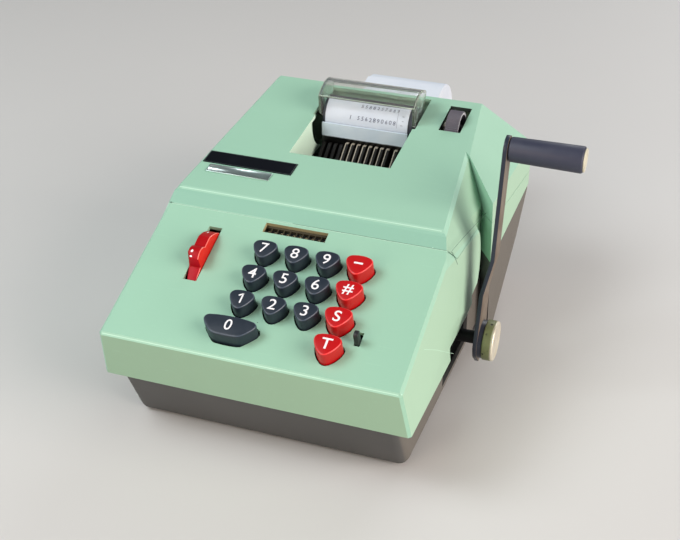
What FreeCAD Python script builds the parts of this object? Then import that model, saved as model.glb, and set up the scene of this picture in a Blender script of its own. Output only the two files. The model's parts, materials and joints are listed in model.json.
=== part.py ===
import FreeCAD, Part
import math
import os

from FreeCAD import Placement, Rotation, Vector

# Hand-cranked ten-key adding machine with a printing mechanism.
# Drawing frame in millimetres: X to the right, Y from the front crease
# towards the rear, Z up from the table. Pieces are moved at the end, so that
# the origin lies on the table in the middle of the whole outline.

# Base
foot_height = 3.0
foot_radius = 7.0
foot_sides = 12
foot_inset_x = 16.0
foot_inset_front = 19.6
foot_inset_rear = 22.0
base_wall = 2.2
base_front_foot_y = 30.4
base_front_top_y = 11.5
base_inset = 2.6
base_splay = 0.0265
base_rear_inset = 2.5
base_corner = 7.0
shaft_opening_front = 23.0
shaft_opening_rear = 31.0
shaft_opening_drop = 25.0

# Casing
casing_wall = 2.5
lip_z = 42.2
crease_z = 76.7
lip_undercut = 8.5
half_width = 88.6
side_lean = 0.099
side_splay = 0.033
keyboard_angle = 18.36
keyboard_length = 102.3
step_depth = 11.4
step_rise = 5.5
top_angle = 5.2
top_length = 148.0
rear_left_taper = 10.1
low_left_flare = 7.4
step_right_inset = 6.5
rear_right_inset = 21.4
rear_lean = 2.0
seam_gap = 0.3
seam_drop_setback = 9.9
seam_side_drop = 10.4
seam_fall = 0.1
edge_chamfer = 1.6
casing_low_z = -10.0
casing_reach = 130.0
rim_thickness = 2.5

# Side panel round the crank, as (Y, Z) points counted from the crank's axis and the casing's lip
nose_low = 13.0
nose_outline = [(33.0, 5.3), (42.5, 17.8), (41.0, 33.8), (32.0, 54.8)]
nose_flat_front = -35.0
nose_rim_front = -25.0
nose_flat_low = [(-28.0, 17.8), (-13.0, 16.8)]
nose_flat_turn = (11.0, 9.8)
nose_flat_rear = [(30.0, 21.8), (36.5, 37.8), (30.0, 58.8)]
nose_bevel_depth = 4.0
nose_head = 28.0
nose_shift_y = 1.3
nose_shift_z = 0.8
valley_inset = 0.6

# Rear housing beside the crank, bounded by flat facets: how far each corner
# stands out from the casing's half width, lies before its rear, and its height
housing_top_front_out = -13.4
housing_top_front_back = 65.5
housing_top_rear_out = -21.2
housing_top_rear_back = 2.0
housing_shoulder_out = 9.4
housing_shoulder_drop = 19.5
housing_nose_out = 5.3
housing_nose_back = 89.5
housing_nose_drop = 18.2
housing_foot_out = 8.4
housing_foot_back = 88.5
housing_foot_rise = 17.8
housing_front_back = 84.5
housing_front_out = 9.9
housing_rear_out = 14.4
housing_seam_front_rise = 20.8
housing_seam_rear_rise = 31.4
housing_knee_out = 9.7
housing_knee_drop = 7.7
housing_ankle_out = 2.7
housing_ankle_rise = 9.4
housing_flank_out = 10.0
housing_flank_back = 67.0
housing_heel_out = 6.4
housing_heel_back = 42.5

# Keyboard
key_pitch = 19.0
first_column_x = -14.5
last_row_t = 16.5
key_width = 14.4
key_depth = 13.2
red_key_width = 15.7
red_key_depth = 14.2
key_corner = 3.4
key_side_radius = 15.0
zero_side_radius = 60.0
key_point_rise = 0.6
corner_run_count = 3
side_run_count = 3
key_height = 8.5
red_key_height = 9.4
key_chamfer = 0.9
key_skirt = 1.6
key_skirt_depth = 1.0
key_crown = 3.4
key_clearance = 0.8
stem_width = 5.0
stem_thickness = 2.0
stem_depth = 22.0
zero_width = 31.0
zero_front_width = 19.0
zero_depth = 13.4

# Keyboard plate under the keys
plate_depth = 14.0
plate_thickness = 1.5
plate_front_t = 8.0
plate_rear_margin = 12.5
slot_clearance = 0.35

# Number window
window_x0 = -23.7
window_pitch = 3.9
window_cell_count = 10
window_rear_t = 2.7
window_length = 7.4
bezel_border = 1.6
bezel_thickness = 1.6
bezel_bar = 0.5
number_wheel_radius = 6.6
number_wheel_gap = 0.4
number_wheel_sides = 10
number_shaft_radius = 1.5
number_bore_sides = 12
running_clearance = 0.05

# Levers in the keyboard cover
lever_slot_offset = 42.0
lever_slot_width = 8.4
lever_slot_front_t = 47.7
lever_slot_length = 41.6
lever_side_gap = 0.5
lever_travel = 2.6
lever_edge_h = -1.0
lever_ramp = [(6.5, 5.2), (12.0, 8.0)]
lever_hump = [(19.0, 7.6), (25.2, 11.0), (29.8, 8.8)]
lever_tongue = (29.4, 1.2)
tab_slot_offset = 11.7
tab_slot_width = 3.3
tab_slot_front_t = 25.3
tab_slot_length = 9.5
tab_height = 5.6
tab_length = 4.4
tab_round = 1.6

# Printer opening, platen, hood
opening_left_x = -35.5
opening_right_x = 31.6
opening_setback = 55.0
opening_rear_inset = 4.0
opening_notch = 1.7
flange_depth = 22.0
flange_drop = 0.5
platen_rear_inset = 27.5
platen_drop = 6.4
platen_radius = 12.0
platen_shaft_radius = 2.5
platen_side_gap = 0.5
hood_radius = 22.0
hood_wall = 1.6
hood_left_gap = 3.2
hood_right_gap = 1.3
hood_front_angle = 129.0
hood_rear_angle = 52.0
hood_cheek_drop = 5.0
hood_cheek_lap = 1.0
hood_hub_radius = 6.0
hood_turning_gap = 1.0
hood_notch_gap = 5.5

# Thumbwheel on the platen shaft
thumb_frame_gap = 5.5
thumb_width = 8.6
thumb_radius = 11.3
thumb_rim = 1.8
thumb_rib_count = 26
thumb_rib_depth = 0.35
thumb_hub_wall = 2.0
thumb_window_left_gap = 3.8
thumb_window_right_gap = 2.0
thumb_window_front = 13.0
thumb_window_rear = 19.0

# Paper
paper_left_x = -30.0
paper_width = 57.0
paper_thickness = 0.3
paper_gap = 0.35
paper_end_angle = 114.0
roll_setback = 54.5
roll_rise = 38.8
roll_radius = 30.0
roll_core_radius = 8.0
roll_core_sides = 24
spindle_radius = 6.5
spindle_end_sides = 6
spindle_end_radius = 2.8
spindle_end_length = 1.5
bracket_wall = 1.5
bracket_side_gap = 1.2
bracket_foot_drop = 28.2
bracket_head_drop = 5.2
bracket_heel = 14.0
bracket_eye = 8.0
paper_slot_margin = 2.0
paper_slot_height = 6.0

# Paper guide and type bars
guide_gap = 2.8
guide_thickness = 1.2
guide_top_drop = 0.8
guide_left_x = -31.5
guide_right_x = 27.5
guide_foot_depth = 4.8
guide_foot_height = 1.6
bar_pitch = 4.05
bar_thickness = 2.0
bar_first_x = -29.9
bar_count = 13
symbol_gap = 1.5
bar_depth = 20.4
bar_guide_gap = 0.8
bar_tail = 26.0
bar_top_drop = 16.5
bar_slope = 3.0
bar_nose = 4.0
comb_drop = 29.0
comb_thickness = 2.0
comb_front_margin = 7.0

# Bare plates on the top cover
label_edge_gap = 4.6
label_width = 59.0
label_setback = 30.0
label_depth = 13.0
label_thickness = 0.5
badge_edge_gap = 10.6
badge_width = 42.0
badge_setback = 20.0
badge_depth = 8.0
badge_thickness = 0.8

# Ribbon spools
spool_radius = 12.5
spool_sides = 14
spool_bore_sides = 12
spool_height = 8.0
spool_flange = 1.0
spool_winding = 2.5
spool_pin_radius = 2.0
spool_seat_gap = 0.3
spool_frame_gap = 2.0

# Frame
frame_inset = 20.0
frame_thickness = 2.0
frame_front_y = 34.0
frame_rear_inset = 6.0
frame_ear_rise = 2.9
frame_ear_half = 8.0
frame_ear_drop = 10.0
frame_wheel_room = 6.0
frame_comb_lap = 0.5
frame_hole_half = 15.0
frame_hole_low = 20.0
frame_hole_front = 46.0
frame_hole_rear = 70.0
frame_hole_slant = 9.0
rod_radius = 3.0
rod_sides = 6
rod_front_inset = 11.0
rod_rear_inset = 10.0
rod_rise = 9.0
rod_middle_back = 21.0
rod_middle_drop = 10.0

# Crank
crank_y = 119.0
crank_z = 37.0
crank_shaft_radius = 4.0
crank_shaft_end = 1.0
bush_radius = 7.0
bush_length = 8.0
bush_sides = 16
arm_side_gap = 14.0
arm_thickness = 2.4
arm_joggle = 4.0
arm_joggle_start = 32.0
arm_joggle_end = 54.0
arm_length = 121.4
arm_lean = 10.4
arm_waist_radius = 7.0
arm_waist = 48.0
arm_head_radius = 7.8
hub_radius = 12.5
hub_tip = 3.0
hub_tip_half = 6.0
hub_sides = 48
arm_sides = 24
boss_thickness = 2.7
boss_radius = 11.8
ring_gap = 0.2
ring_thickness = 5.0
cap_thickness = 1.8
cap_chamfer = 1.2
grip_gap = 0.3
grip_length = 44.0
grip_inner_radius = 7.3
grip_outer_radius = 7.9
grip_chamfer = 1.2
grip_sides = 36
grip_pin_radius = 2.5
grip_head_radius = 5.0
grip_head_sides = 24
grip_head_thickness = 1.2
sector_radius = 28.0
sector_thickness = 3.0
sector_tooth_count = 9
sector_tooth = 2.4
sector_tooth_step = 5.6
sector_first_angle = 40.0
sector_hub_wall = 4.0
sector_hub_side = 4.0
sector_inset = 22.0

alpha = math.radians(keyboard_angle)
beta = math.radians(top_angle)

# Corners of the casing's side view
seam_y = keyboard_length * math.cos(alpha)
seam_z = crease_z + keyboard_length * math.sin(alpha)
step_y = seam_y + step_depth
step_z = seam_z + step_rise
rear_y = step_y + top_length
rear_z = step_z + top_length * math.tan(beta)


def top_height(y):
    return step_z + (y - step_y) * math.tan(beta)


def side_x(y, z):
    # outer face of the side walls, which carries the keyboard's edge
    return half_width - side_lean * (z - crease_z) + side_splay * y


# Places that follow from the casing
base_half_width = half_width - base_inset
base_rear_y = rear_y - base_rear_inset
frame_x = base_half_width - frame_inset
thumb_left_x = frame_x - thumb_frame_gap - thumb_width
spool_x = frame_x - spool_frame_gap - spool_radius
arm_root_x = half_width + arm_side_gap
valley_floor_x = half_width - valley_inset
platen_y = rear_y - platen_rear_inset
platen_z = top_height(platen_y) - platen_drop
hood_left_x = opening_left_x - opening_notch + hood_left_gap
hood_right_x = opening_right_x + opening_notch - hood_right_gap
guide_y = platen_y - platen_radius - guide_gap
bar_rear_y = guide_y - bar_guide_gap
bar_front_y = bar_rear_y - bar_depth
comb_z = platen_z - comb_drop
comb_front_y = bar_front_y - comb_front_margin
comb_rear_y = guide_y + guide_foot_depth
spool_y = (comb_front_y + comb_rear_y) / 2
roll_y = rear_y + roll_setback
roll_z = lip_z + roll_rise
frame_floor_z = foot_height + base_wall
frame_rear_y = base_rear_y - frame_rear_inset


def solid_of(shape):
    if len(shape.Solids) == 1:
        return shape.Solids[0]
    return shape


def box(x0, x1, y0, y1, z0, z1):
    return Part.makeBox(x1 - x0, y1 - y0, z1 - z0, Vector(x0, y0, z0))


def rod_x(radius, x0, x1, y, z):
    return Part.makeCylinder(radius, x1 - x0, Vector(x0, y, z), Vector(1, 0, 0))


def rod_z(radius, x, y, z0, z1):
    return Part.makeCylinder(radius, z1 - z0, Vector(x, y, z0))


def side_face(points):
    ring = [Vector(0, y, z) for y, z in points]
    return Part.Face(Part.makePolygon(ring + ring[:1]))


def round_points(sides, radius):
    # corners of a regular outline, the first one half a side past the first axis
    turns = [2 * math.pi * (i + 0.5) / sides for i in range(sides)]
    return [(radius * math.cos(a), radius * math.sin(a)) for a in turns]


def over_flats(radius, sides):
    # corner radius of a regular outline whose flats lie at the given radius
    return radius / math.cos(math.pi / sides)


def facet_rod_x(sides, radius, x0, x1, y, z):
    return prism_x([(y + p, z + q) for p, q in round_points(sides, radius)], x0, x1)


def facet_rod_z(sides, radius, x, y, z0, z1):
    ring = [Vector(x + p, y + q, z0) for p, q in round_points(sides, radius)]
    return Part.Face(Part.makePolygon(ring + ring[:1])).extrude(Vector(0, 0, z1 - z0))


def ring_solid(rings):
    # solid with flat sides between outlines of the same count of points
    faces = []
    for low, high in zip(rings, rings[1:]):
        for i, a in enumerate(low):
            j = (i + 1) % len(low)
            faces.append(Part.Face(Part.makePolygon([a, low[j], high[j], high[i], a])))
    for ring in (rings[0], rings[-1]):
        faces.append(Part.Face(Part.makePolygon(ring + ring[:1])))
    return Part.makeSolid(Part.makeShell(faces))


def turned_x(sides, profile, y, z):
    # turned piece with flat facets, from (X, radius) pairs
    rings = []
    for x, radius in profile:
        rings.append([Vector(x, y + p, z + q) for p, q in round_points(sides, radius)])
    return ring_solid(rings)


def prism_x(points, x0, x1):
    # outline in the YZ plane, carried from x0 to x1
    face = side_face(points)
    face.translate(Vector(x0, 0, 0))
    return face.extrude(Vector(x1 - x0, 0, 0))


def slice_off(shape, a, b, c, inset=0.0):
    # takes away all that lies outside the plane a, b, c moved inwards by inset
    normal = (b - a).cross(c - a)
    normal.normalize()
    reach = 900.0
    block = Part.makeBox(reach, reach, reach, Vector(-reach / 2, -reach / 2, 0))
    block.Placement = Placement(a - normal * inset, Rotation(Vector(0, 0, 1), normal))
    return shape.cut(block)


def on_keyboard(shape):
    # moves a piece drawn flat (X, T, height) onto the sloping keyboard
    shape = shape.copy()
    tilt = Rotation(Vector(1, 0, 0), keyboard_angle)
    shape.Placement = Placement(Vector(0, 0, crease_z), tilt).multiply(shape.Placement)
    return shape


def keyboard_point(t, h):
    y = t * math.cos(alpha) - h * math.sin(alpha)
    z = crease_z + t * math.sin(alpha) + h * math.cos(alpha)
    return y, z


def arc_points(hub, radius, start, finish, runs):
    # points round a hub from one direction to another, without the last one
    turn = start.getAngle(finish) / runs
    points = []
    for i in range(runs):
        c = math.cos(i * turn)
        s = math.sin(i * turn)
        points.append(hub + Vector(start.x * c - start.y * s, start.x * s + start.y * c, 0) * radius)
    return points


def unit(vector):
    vector.normalize()
    return vector


def bulged_points(centres, corner, side, corner_runs, side_runs):
    # corner arcs joined by side arcs of a larger radius, in short straight runs
    hubs = []
    for i, a in enumerate(centres):
        b = centres[(i + 1) % len(centres)]
        along = b - a
        inward = unit(Vector(-along.y, along.x, 0))
        hubs.append((a + b) * 0.5 + inward * math.sqrt((side - corner) ** 2 - (along.Length / 2) ** 2))
    points = []
    for i, a in enumerate(centres):
        b = centres[(i + 1) % len(centres)]
        start = unit(a - hubs[i])
        points += arc_points(a, corner, unit(a - hubs[i - 1]), start, corner_runs)
        points += arc_points(hubs[i], side, start, unit(b - hubs[i]), side_runs)
    return points


def pick_centres(width, depth):
    side_room = width / 2 - key_corner
    rear = depth / 2 - key_corner - key_point_rise
    return [Vector(-side_room, rear, 0), Vector(0, -depth / 2 + key_corner, 0), Vector(side_room, rear, 0)]


def zero_centres():
    rear = zero_width / 2 - key_corner
    front = zero_front_width / 2 - key_corner
    room = zero_depth / 2 - key_corner
    return [Vector(-rear, room, 0), Vector(-front, -room, 0), Vector(front, -room, 0), Vector(rear, room, 0)]


def key_ring(centres, grow, h, corner_runs=corner_run_count, side_runs=side_run_count):
    side = zero_side_radius if len(centres) > 3 else key_side_radius
    points = bulged_points(centres, key_corner + grow, side + grow, corner_runs, side_runs)
    return [Vector(p.x, p.y, h) for p in points]


def key_prism(centres, grow, h0, h1, corner_runs=corner_run_count, side_runs=side_run_count):
    return ring_solid([key_ring(centres, grow, h, corner_runs, side_runs) for h in (h0, h1)])


def key_table():
    # name, column, row counted from the front, kind
    keys = []
    for digit in range(1, 10):
        keys.append(("key_%d" % digit, (digit - 1) % 3, 1 + (digit - 1) // 3, "black"))
    keys.append(("key_0", 0, 0, "zero"))
    for row, name in enumerate(["key_total", "key_subtotal", "key_number", "key_minus"]):
        keys.append((name, 3, row, "red"))
    return keys


def key_place(column, row):
    return Vector(first_column_x + column * key_pitch, last_row_t + row * key_pitch, 0)


def key_outline(kind):
    if kind == "zero":
        return zero_centres()
    if kind == "red":
        return pick_centres(red_key_width, red_key_depth)
    return pick_centres(key_width, key_depth)


def key(column, row, kind):
    centres = key_outline(kind)
    height = red_key_height if kind == "red" else key_height
    levels = [(0, -key_skirt_depth), (0, height - key_chamfer), (-key_chamfer, height)]
    cap = ring_solid([key_ring(centres, grow, h) for grow, h in levels])
    hollow = key_prism(centres, -key_skirt, -2 * key_skirt_depth, height - key_crown, 1, 1)
    stem = Part.makeBox(stem_width, stem_thickness, stem_depth + height - key_crown,
                        Vector(-stem_width / 2, -stem_thickness / 2, -stem_depth))
    shape = cap.cut(hollow).fuse(stem).removeSplitter()
    shape.translate(key_place(column, row))
    return on_keyboard(shape)


def key_holes():
    tools = []
    for name, column, row, kind in key_table():
        hole = key_prism(key_outline(kind), key_clearance, -2 * casing_wall, casing_wall)
        hole.translate(key_place(column, row))
        tools.append(on_keyboard(hole))
    return tools


def lever_slot_x():
    # the slot lies on the other side of the keys
    return first_column_x - lever_slot_offset


def tab_slot_x():
    # the slot lies beside the last column of keys
    return first_column_x + 3 * key_pitch + tab_slot_offset


def window_front_t():
    return keyboard_length - window_rear_t - window_length


def slot_tools():
    lever = Part.makeBox(lever_slot_width, lever_slot_length, 4 * casing_wall,
                         Vector(lever_slot_x(), lever_slot_front_t, -2 * casing_wall))
    tab = Part.makeBox(tab_slot_width, tab_slot_length, 4 * casing_wall,
                       Vector(tab_slot_x(), tab_slot_front_t, -2 * casing_wall))
    window = Part.makeBox(window_cell_count * window_pitch, window_length, 4 * casing_wall,
                          Vector(window_x0, window_front_t(), -2 * casing_wall))
    return [on_keyboard(tool) for tool in (lever, tab, window)]


def casing_outline(inset):
    lip_slope = lip_undercut / (crease_z - lip_z)
    low_front_y = (crease_z - casing_low_z) * lip_slope
    points = [
        (0.0, crease_z),
        (low_front_y, casing_low_z),
        (rear_y + rear_lean, casing_low_z),
        (rear_y, rear_z),
        (step_y, step_z),
        (seam_y, seam_z),
    ]
    face = side_face(points)
    if inset:
        face = face.makeOffset2D(-inset, 2)
    face.translate(Vector(-casing_reach, 0, 0))
    return face.extrude(Vector(2 * casing_reach, 0, 0))


def wall_point(y, z, side):
    return Vector(side * side_x(y, z), y, z)


def main_form(inset):
    form = casing_outline(inset)
    front = (0.0, crease_z)
    seam = (seam_y, seam_z)
    low = (lip_undercut, lip_z)
    form = slice_off(form, wall_point(*low, 1), wall_point(*seam, 1), wall_point(*front, 1), inset)
    form = slice_off(form, wall_point(*front, -1), wall_point(*seam, -1), wall_point(*low, -1), inset)
    step_left = Vector(-side_x(step_y, step_z), step_y, step_z)
    rear_left = Vector(-half_width + rear_left_taper, rear_y, rear_z)
    low_left = Vector(-half_width - low_left_flare, rear_y, lip_z)
    form = slice_off(form, low_left, step_left, rear_left, inset)
    step_right = Vector(half_width - step_right_inset, step_y, step_z)
    rear_right = Vector(half_width - rear_right_inset, rear_y, rear_z)
    side_right = wall_point(step_y + step_depth, seam_z - seam_side_drop, 1)
    form = slice_off(form, step_right, side_right, rear_right, inset)
    if inset:
        return form
    return form.makeChamfer(edge_chamfer, [e for e in form.Edges if is_chamfered(e)])


def is_chamfered(edge):
    # every edge of the casing but the rear ones, those below its lip and those of the step's front
    ends = [v.Point for v in edge.Vertexes]
    low = all(p.z < lip_z for p in ends)
    rear = all(p.y > rear_y - edge_chamfer for p in ends)
    seam = all(abs(p.y - seam_y) < seam_gap for p in ends)
    short = edge.Length < 2 * step_depth
    return not (low or rear or seam or short)


def nose_point(point):
    # from the crank's axis and the casing's lip to the drawing frame
    return crank_y + point[0], lip_z + point[1]


def spline_x(points):
    curve = Part.BSplineCurve()
    curve.interpolate([Vector(0, y, z) for y, z in points])
    return curve.toShape()


def closed_beyond(edges, first, last):
    # region behind a side panel's edge, closed far to the rear
    far = rear_y + casing_reach
    high = rear_z + casing_reach
    head = (crank_y + nose_head, high)
    corners = [last, head, (far, high), (far, casing_low_z), (first[0], casing_low_z), first]
    for i in range(len(corners) - 1):
        a = Vector(0, corners[i][0], corners[i][1])
        b = Vector(0, corners[i + 1][0], corners[i + 1][1])
        edges.append(Part.makeLine(a, b))
    return Part.Wire(edges)


def valley(inset):
    # takes away the space behind the side panel, down to the valley's floor
    points = [nose_point(p) for p in [(nose_low, 0)] + nose_outline]
    wire = closed_beyond([spline_x(points)], points[0], points[-1])
    face = Part.Face(wire)
    face.translate(Vector(valley_floor_x - inset, -nose_shift_y * inset, nose_shift_z * inset))
    return face.extrude(Vector(casing_reach, 0, 0))


def on_side(shape):
    # moves a piece drawn in the YZ plane at X = 0 onto the right side wall
    normal = Vector(1, -side_splay, side_lean)
    tilt = Rotation(Vector(1, 0, 0), normal)
    shape = shape.copy()
    shape.translate(Vector(0, 0, -crease_z))
    shape.Placement = Placement(Vector(half_width, 0, crease_z), tilt).multiply(shape.Placement)
    return shape


def nose_flat_wire():
    # flat part of the side panel, bounded by the bevel
    low = [nose_point(p) for p in [(nose_flat_front, 0)] + nose_flat_low + [nose_flat_turn]]
    rear = [nose_point(p) for p in [nose_flat_turn] + nose_flat_rear]
    return closed_beyond([spline_x(low), spline_x(rear)], low[0], rear[-1])


def nose_bevel():
    # slanting band along the side panel's rear and lower edge
    first = nose_point((nose_rim_front, 0))
    points = [nose_point(p) for p in [(nose_low, 0)] + nose_outline]
    edge = Part.makeLine(Vector(0, *first), Vector(0, *points[0]))
    rim = closed_beyond([edge, spline_x(points)], first, points[-1])
    rim.translate(Vector(-nose_bevel_depth, 0, 0))
    return on_side(Part.makeLoft([rim, nose_flat_wire()], True, True))


def nose_step(inset):
    # behind the bevel the wall's inner face steps in by the bevel's depth
    face = Part.Face(nose_flat_wire())
    face.translate(Vector(-nose_bevel_depth - inset, 0, 0))
    return on_side(face.extrude(Vector(casing_reach, 0, 0)))


def housing_point(out, back, z):
    return Vector(half_width + out, rear_y - back, z)


def housing_seam(gap):
    # space below the parting line between the rear housing and the base
    slope = (housing_seam_rear_rise - housing_seam_front_rise) / housing_front_back
    low_y = crank_y + nose_low
    far_y = rear_y + casing_reach
    rear = lip_z + housing_seam_rear_rise - gap
    points = [
        (low_y, casing_low_z),
        (far_y, casing_low_z),
        (far_y, rear + slope * (far_y - rear_y)),
        (low_y, rear + slope * (low_y - rear_y)),
    ]
    return prism_x(points, valley_floor_x, casing_reach)


def housing(inset):
    # raised housing at the right rear, from the top plane down to the table
    top_front_y = rear_y - housing_top_front_back
    top_rear_y = rear_y - housing_top_rear_back
    top_front = housing_point(housing_top_front_out, housing_top_front_back, top_height(top_front_y))
    top_rear = housing_point(housing_top_rear_out, housing_top_rear_back, top_height(top_rear_y))
    shoulder = housing_point(housing_shoulder_out, 0, rear_z - housing_shoulder_drop)
    nose = housing_point(housing_nose_out, housing_nose_back, rear_z - housing_nose_drop)
    nose_foot = housing_point(housing_foot_out, housing_foot_back, lip_z + housing_foot_rise)
    wall_front = housing_point(housing_front_out, housing_front_back, lip_z)
    wall_rear = housing_point(housing_rear_out, 0, lip_z)
    wall_high = housing_point(housing_rear_out, 0, rear_z)
    wall_end = housing_point(housing_rear_out, 0, lip_z + housing_seam_rear_rise)
    knee = housing_point(housing_knee_out, 0, lip_z - housing_knee_drop)
    ankle = housing_point(housing_ankle_out, 0, foot_height + housing_ankle_rise)
    flank = housing_point(housing_flank_out, housing_flank_back, foot_height)
    heel = housing_point(housing_heel_out, housing_heel_back, foot_height)
    form = casing_outline(inset).common(box(0, casing_reach, step_y, rear_y - inset, foot_height, rear_z))
    form = slice_off(form, top_front, shoulder, top_rear, inset)
    form = slice_off(form, wall_front, wall_rear, wall_high, inset)
    form = slice_off(form, top_front, nose_foot, nose, inset)
    form = slice_off(form, flank, knee, wall_end, inset)
    return slice_off(form, heel, ankle, knee, inset)


def casing_form(inset):
    form = main_form(inset).cut(valley(inset))
    form = form.cut(nose_step(inset) if inset else nose_bevel())
    return form.fuse(housing(inset)).removeSplitter()


def casing_rim():
    # flange at the casing's lower edge, which rests on the base's walls
    slab = box(-casing_reach, casing_reach, 0, rear_y, lip_z, lip_z + rim_thickness)
    rim = main_form(0).cut(valley(0)).cut(nose_bevel()).common(slab)
    return rim.cut(base_form(base_wall))


def casing_shell():
    shell = casing_form(0.0).cut(casing_form(casing_wall))
    below = box(-casing_reach, casing_reach, -casing_reach, rear_y + casing_reach, 2 * casing_low_z, lip_z)
    return shell.cut(below).fuse(casing_rim()).cut(housing_seam(0)).removeSplitter()


def upper_region(gap):
    # everything above the seam line, for parting the two covers
    reach = rear_y + casing_reach
    drop_y = seam_y + seam_drop_setback
    side_z = seam_z - seam_side_drop
    points = [
        (seam_y - gap, seam_z + casing_reach),
        (seam_y - gap, seam_z - gap),
        (drop_y - gap, side_z - gap),
        (reach, side_z - seam_fall * (reach - drop_y) - gap),
        (reach, seam_z + casing_reach),
    ]
    return prism_x(points, -casing_reach, casing_reach)


def lower_casing(shell):
    shape = shell.cut(upper_region(seam_gap))
    shape = shape.cut(Part.makeCompound(key_holes() + slot_tools()))
    return solid_of(shape)


def opening_tool():
    low = platen_z - 2 * flange_depth
    high = rear_z + casing_wall
    front_y = step_y + opening_setback
    end_y = rear_y - opening_rear_inset
    notch_y = platen_y - hood_radius + hood_notch_gap
    front = box(opening_left_x, opening_right_x, front_y, end_y, low, high)
    rear = box(opening_left_x - opening_notch, opening_right_x + opening_notch, notch_y, end_y, low, high)
    return front.fuse(rear)


def opening_flanges():
    # sloping side walls of the printer opening, cut round the platen
    low = platen_z - flange_depth
    front_y = step_y + opening_setback
    points = [
        (front_y, low),
        (platen_y, low),
        (platen_y, top_height(platen_y) - flange_drop),
        (front_y, top_height(front_y) - flange_drop),
    ]
    left = prism_x(points, opening_left_x - casing_wall, opening_left_x)
    right = prism_x(points, opening_right_x, opening_right_x + casing_wall)
    round_cut = rod_x(hood_radius + hood_turning_gap, -casing_reach, casing_reach, platen_y, platen_z)
    flanges = left.fuse(right)
    return flanges.cut(round_cut)


def top_cover(shell):
    shape = shell.common(upper_region(0.0))
    shape = shape.cut(opening_tool())
    shape = shape.fuse(opening_flanges())
    window = box(thumb_left_x - thumb_window_left_gap, thumb_left_x + thumb_width + thumb_window_right_gap,
                 platen_y - thumb_window_front, platen_y + thumb_window_rear, platen_z - thumb_radius,
                 rear_z + casing_wall)
    slot_z = platen_z - platen_radius - paper_gap
    slot = box(paper_left_x - paper_slot_margin, paper_left_x + paper_width + paper_slot_margin,
               rear_y - 2 * casing_wall, rear_y + casing_wall,
               slot_z - paper_slot_height / 2, slot_z + paper_slot_height / 2)
    return solid_of(shape.cut(window).cut(slot).removeSplitter())


def base_form(inset):
    # tub that tapers in towards the bottom at the front, open at the top
    slope = (base_front_foot_y - base_front_top_y) / (lip_z - foot_height)
    high = lip_z + casing_reach
    side = side_face([
        (base_front_foot_y, foot_height),
        (base_rear_y, foot_height),
        (base_rear_y, high),
        (base_front_foot_y - slope * (high - foot_height), high),
    ])
    rear_half = base_half_width + base_splay * (base_rear_y - base_front_foot_y)
    front_half = base_half_width - base_splay * base_front_foot_y
    corners = [
        Vector(-front_half, 0, 0),
        Vector(front_half, 0, 0),
        Vector(rear_half, base_rear_y, 0),
        Vector(-rear_half, base_rear_y, 0),
    ]
    plan = Part.Face(Part.makePolygon(corners + corners[:1]))
    if inset:
        side = side.makeOffset2D(-inset, 2)
        plan = plan.makeOffset2D(-inset, 2)
    side.translate(Vector(-casing_reach, 0, 0))
    upright = plan.extrude(Vector(0, 0, high))
    return side.extrude(Vector(2 * casing_reach, 0, 0)).common(upright)


def base_tub():
    outer = base_form(0)
    edges = []
    for edge in outer.Edges:
        bb = edge.BoundBox
        along_y = bb.YLength > 100 and bb.ZMax < foot_height + 1
        slanted = bb.YMax < base_front_foot_y + 0.01 and bb.ZLength > base_front_foot_y
        if along_y or slanted:
            edges.append(edge)
    outer = outer.makeFillet(base_corner, edges)
    inner = base_form(base_wall)
    above = box(-casing_reach, casing_reach, -casing_reach, base_rear_y + base_wall,
                lip_z, lip_z + 2 * casing_reach)
    pocket_inner = housing(base_wall)
    pocket_inner = pocket_inner.common(box(0, casing_reach, 0, base_rear_y, frame_floor_z, rear_z))
    pocket = housing(0).common(box(0, casing_reach, 0, base_rear_y, 0, rear_z))
    pocket = pocket.common(housing_seam(seam_gap)).cut(outer)
    shape = outer.cut(above).fuse(pocket)
    shape = shape.cut(inner).cut(pocket_inner.common(housing_seam(-seam_gap)))
    opening = box(frame_x + frame_thickness, half_width + casing_wall, crank_y - shaft_opening_front,
                  crank_y + shaft_opening_rear, crank_z - shaft_opening_drop, lip_z + base_wall)
    return solid_of(shape.cut(opening).removeSplitter())


def rubber_feet():
    feet = []
    x = base_half_width - foot_inset_x
    for y in (base_front_foot_y + foot_inset_front, base_rear_y - foot_inset_rear):
        feet.append(facet_rod_z(foot_sides, foot_radius, -x, y, 0, foot_height))
        feet.append(facet_rod_z(foot_sides, foot_radius, x, y, 0, foot_height))
    return Part.makeCompound(feet)


def plate_rear_t():
    return last_row_t + 3 * key_pitch + plate_rear_margin


def keyboard_plate():
    half = frame_x + frame_thickness
    plate = Part.makeBox(2 * half, plate_rear_t() - plate_front_t, plate_thickness,
                         Vector(-half, plate_front_t, -plate_depth - plate_thickness))
    wide = stem_width + 2 * slot_clearance
    thick = stem_thickness + 2 * slot_clearance
    low = -plate_depth - 3 * plate_thickness
    slots = []
    for name, column, row, kind in key_table():
        place = key_place(column, row)
        corner = Vector(place.x - wide / 2, place.y - thick / 2, low)
        slots.append(Part.makeBox(wide, thick, 4 * plate_thickness, corner))
    return on_keyboard(solid_of(plate.cut(Part.makeCompound(slots))))


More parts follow.
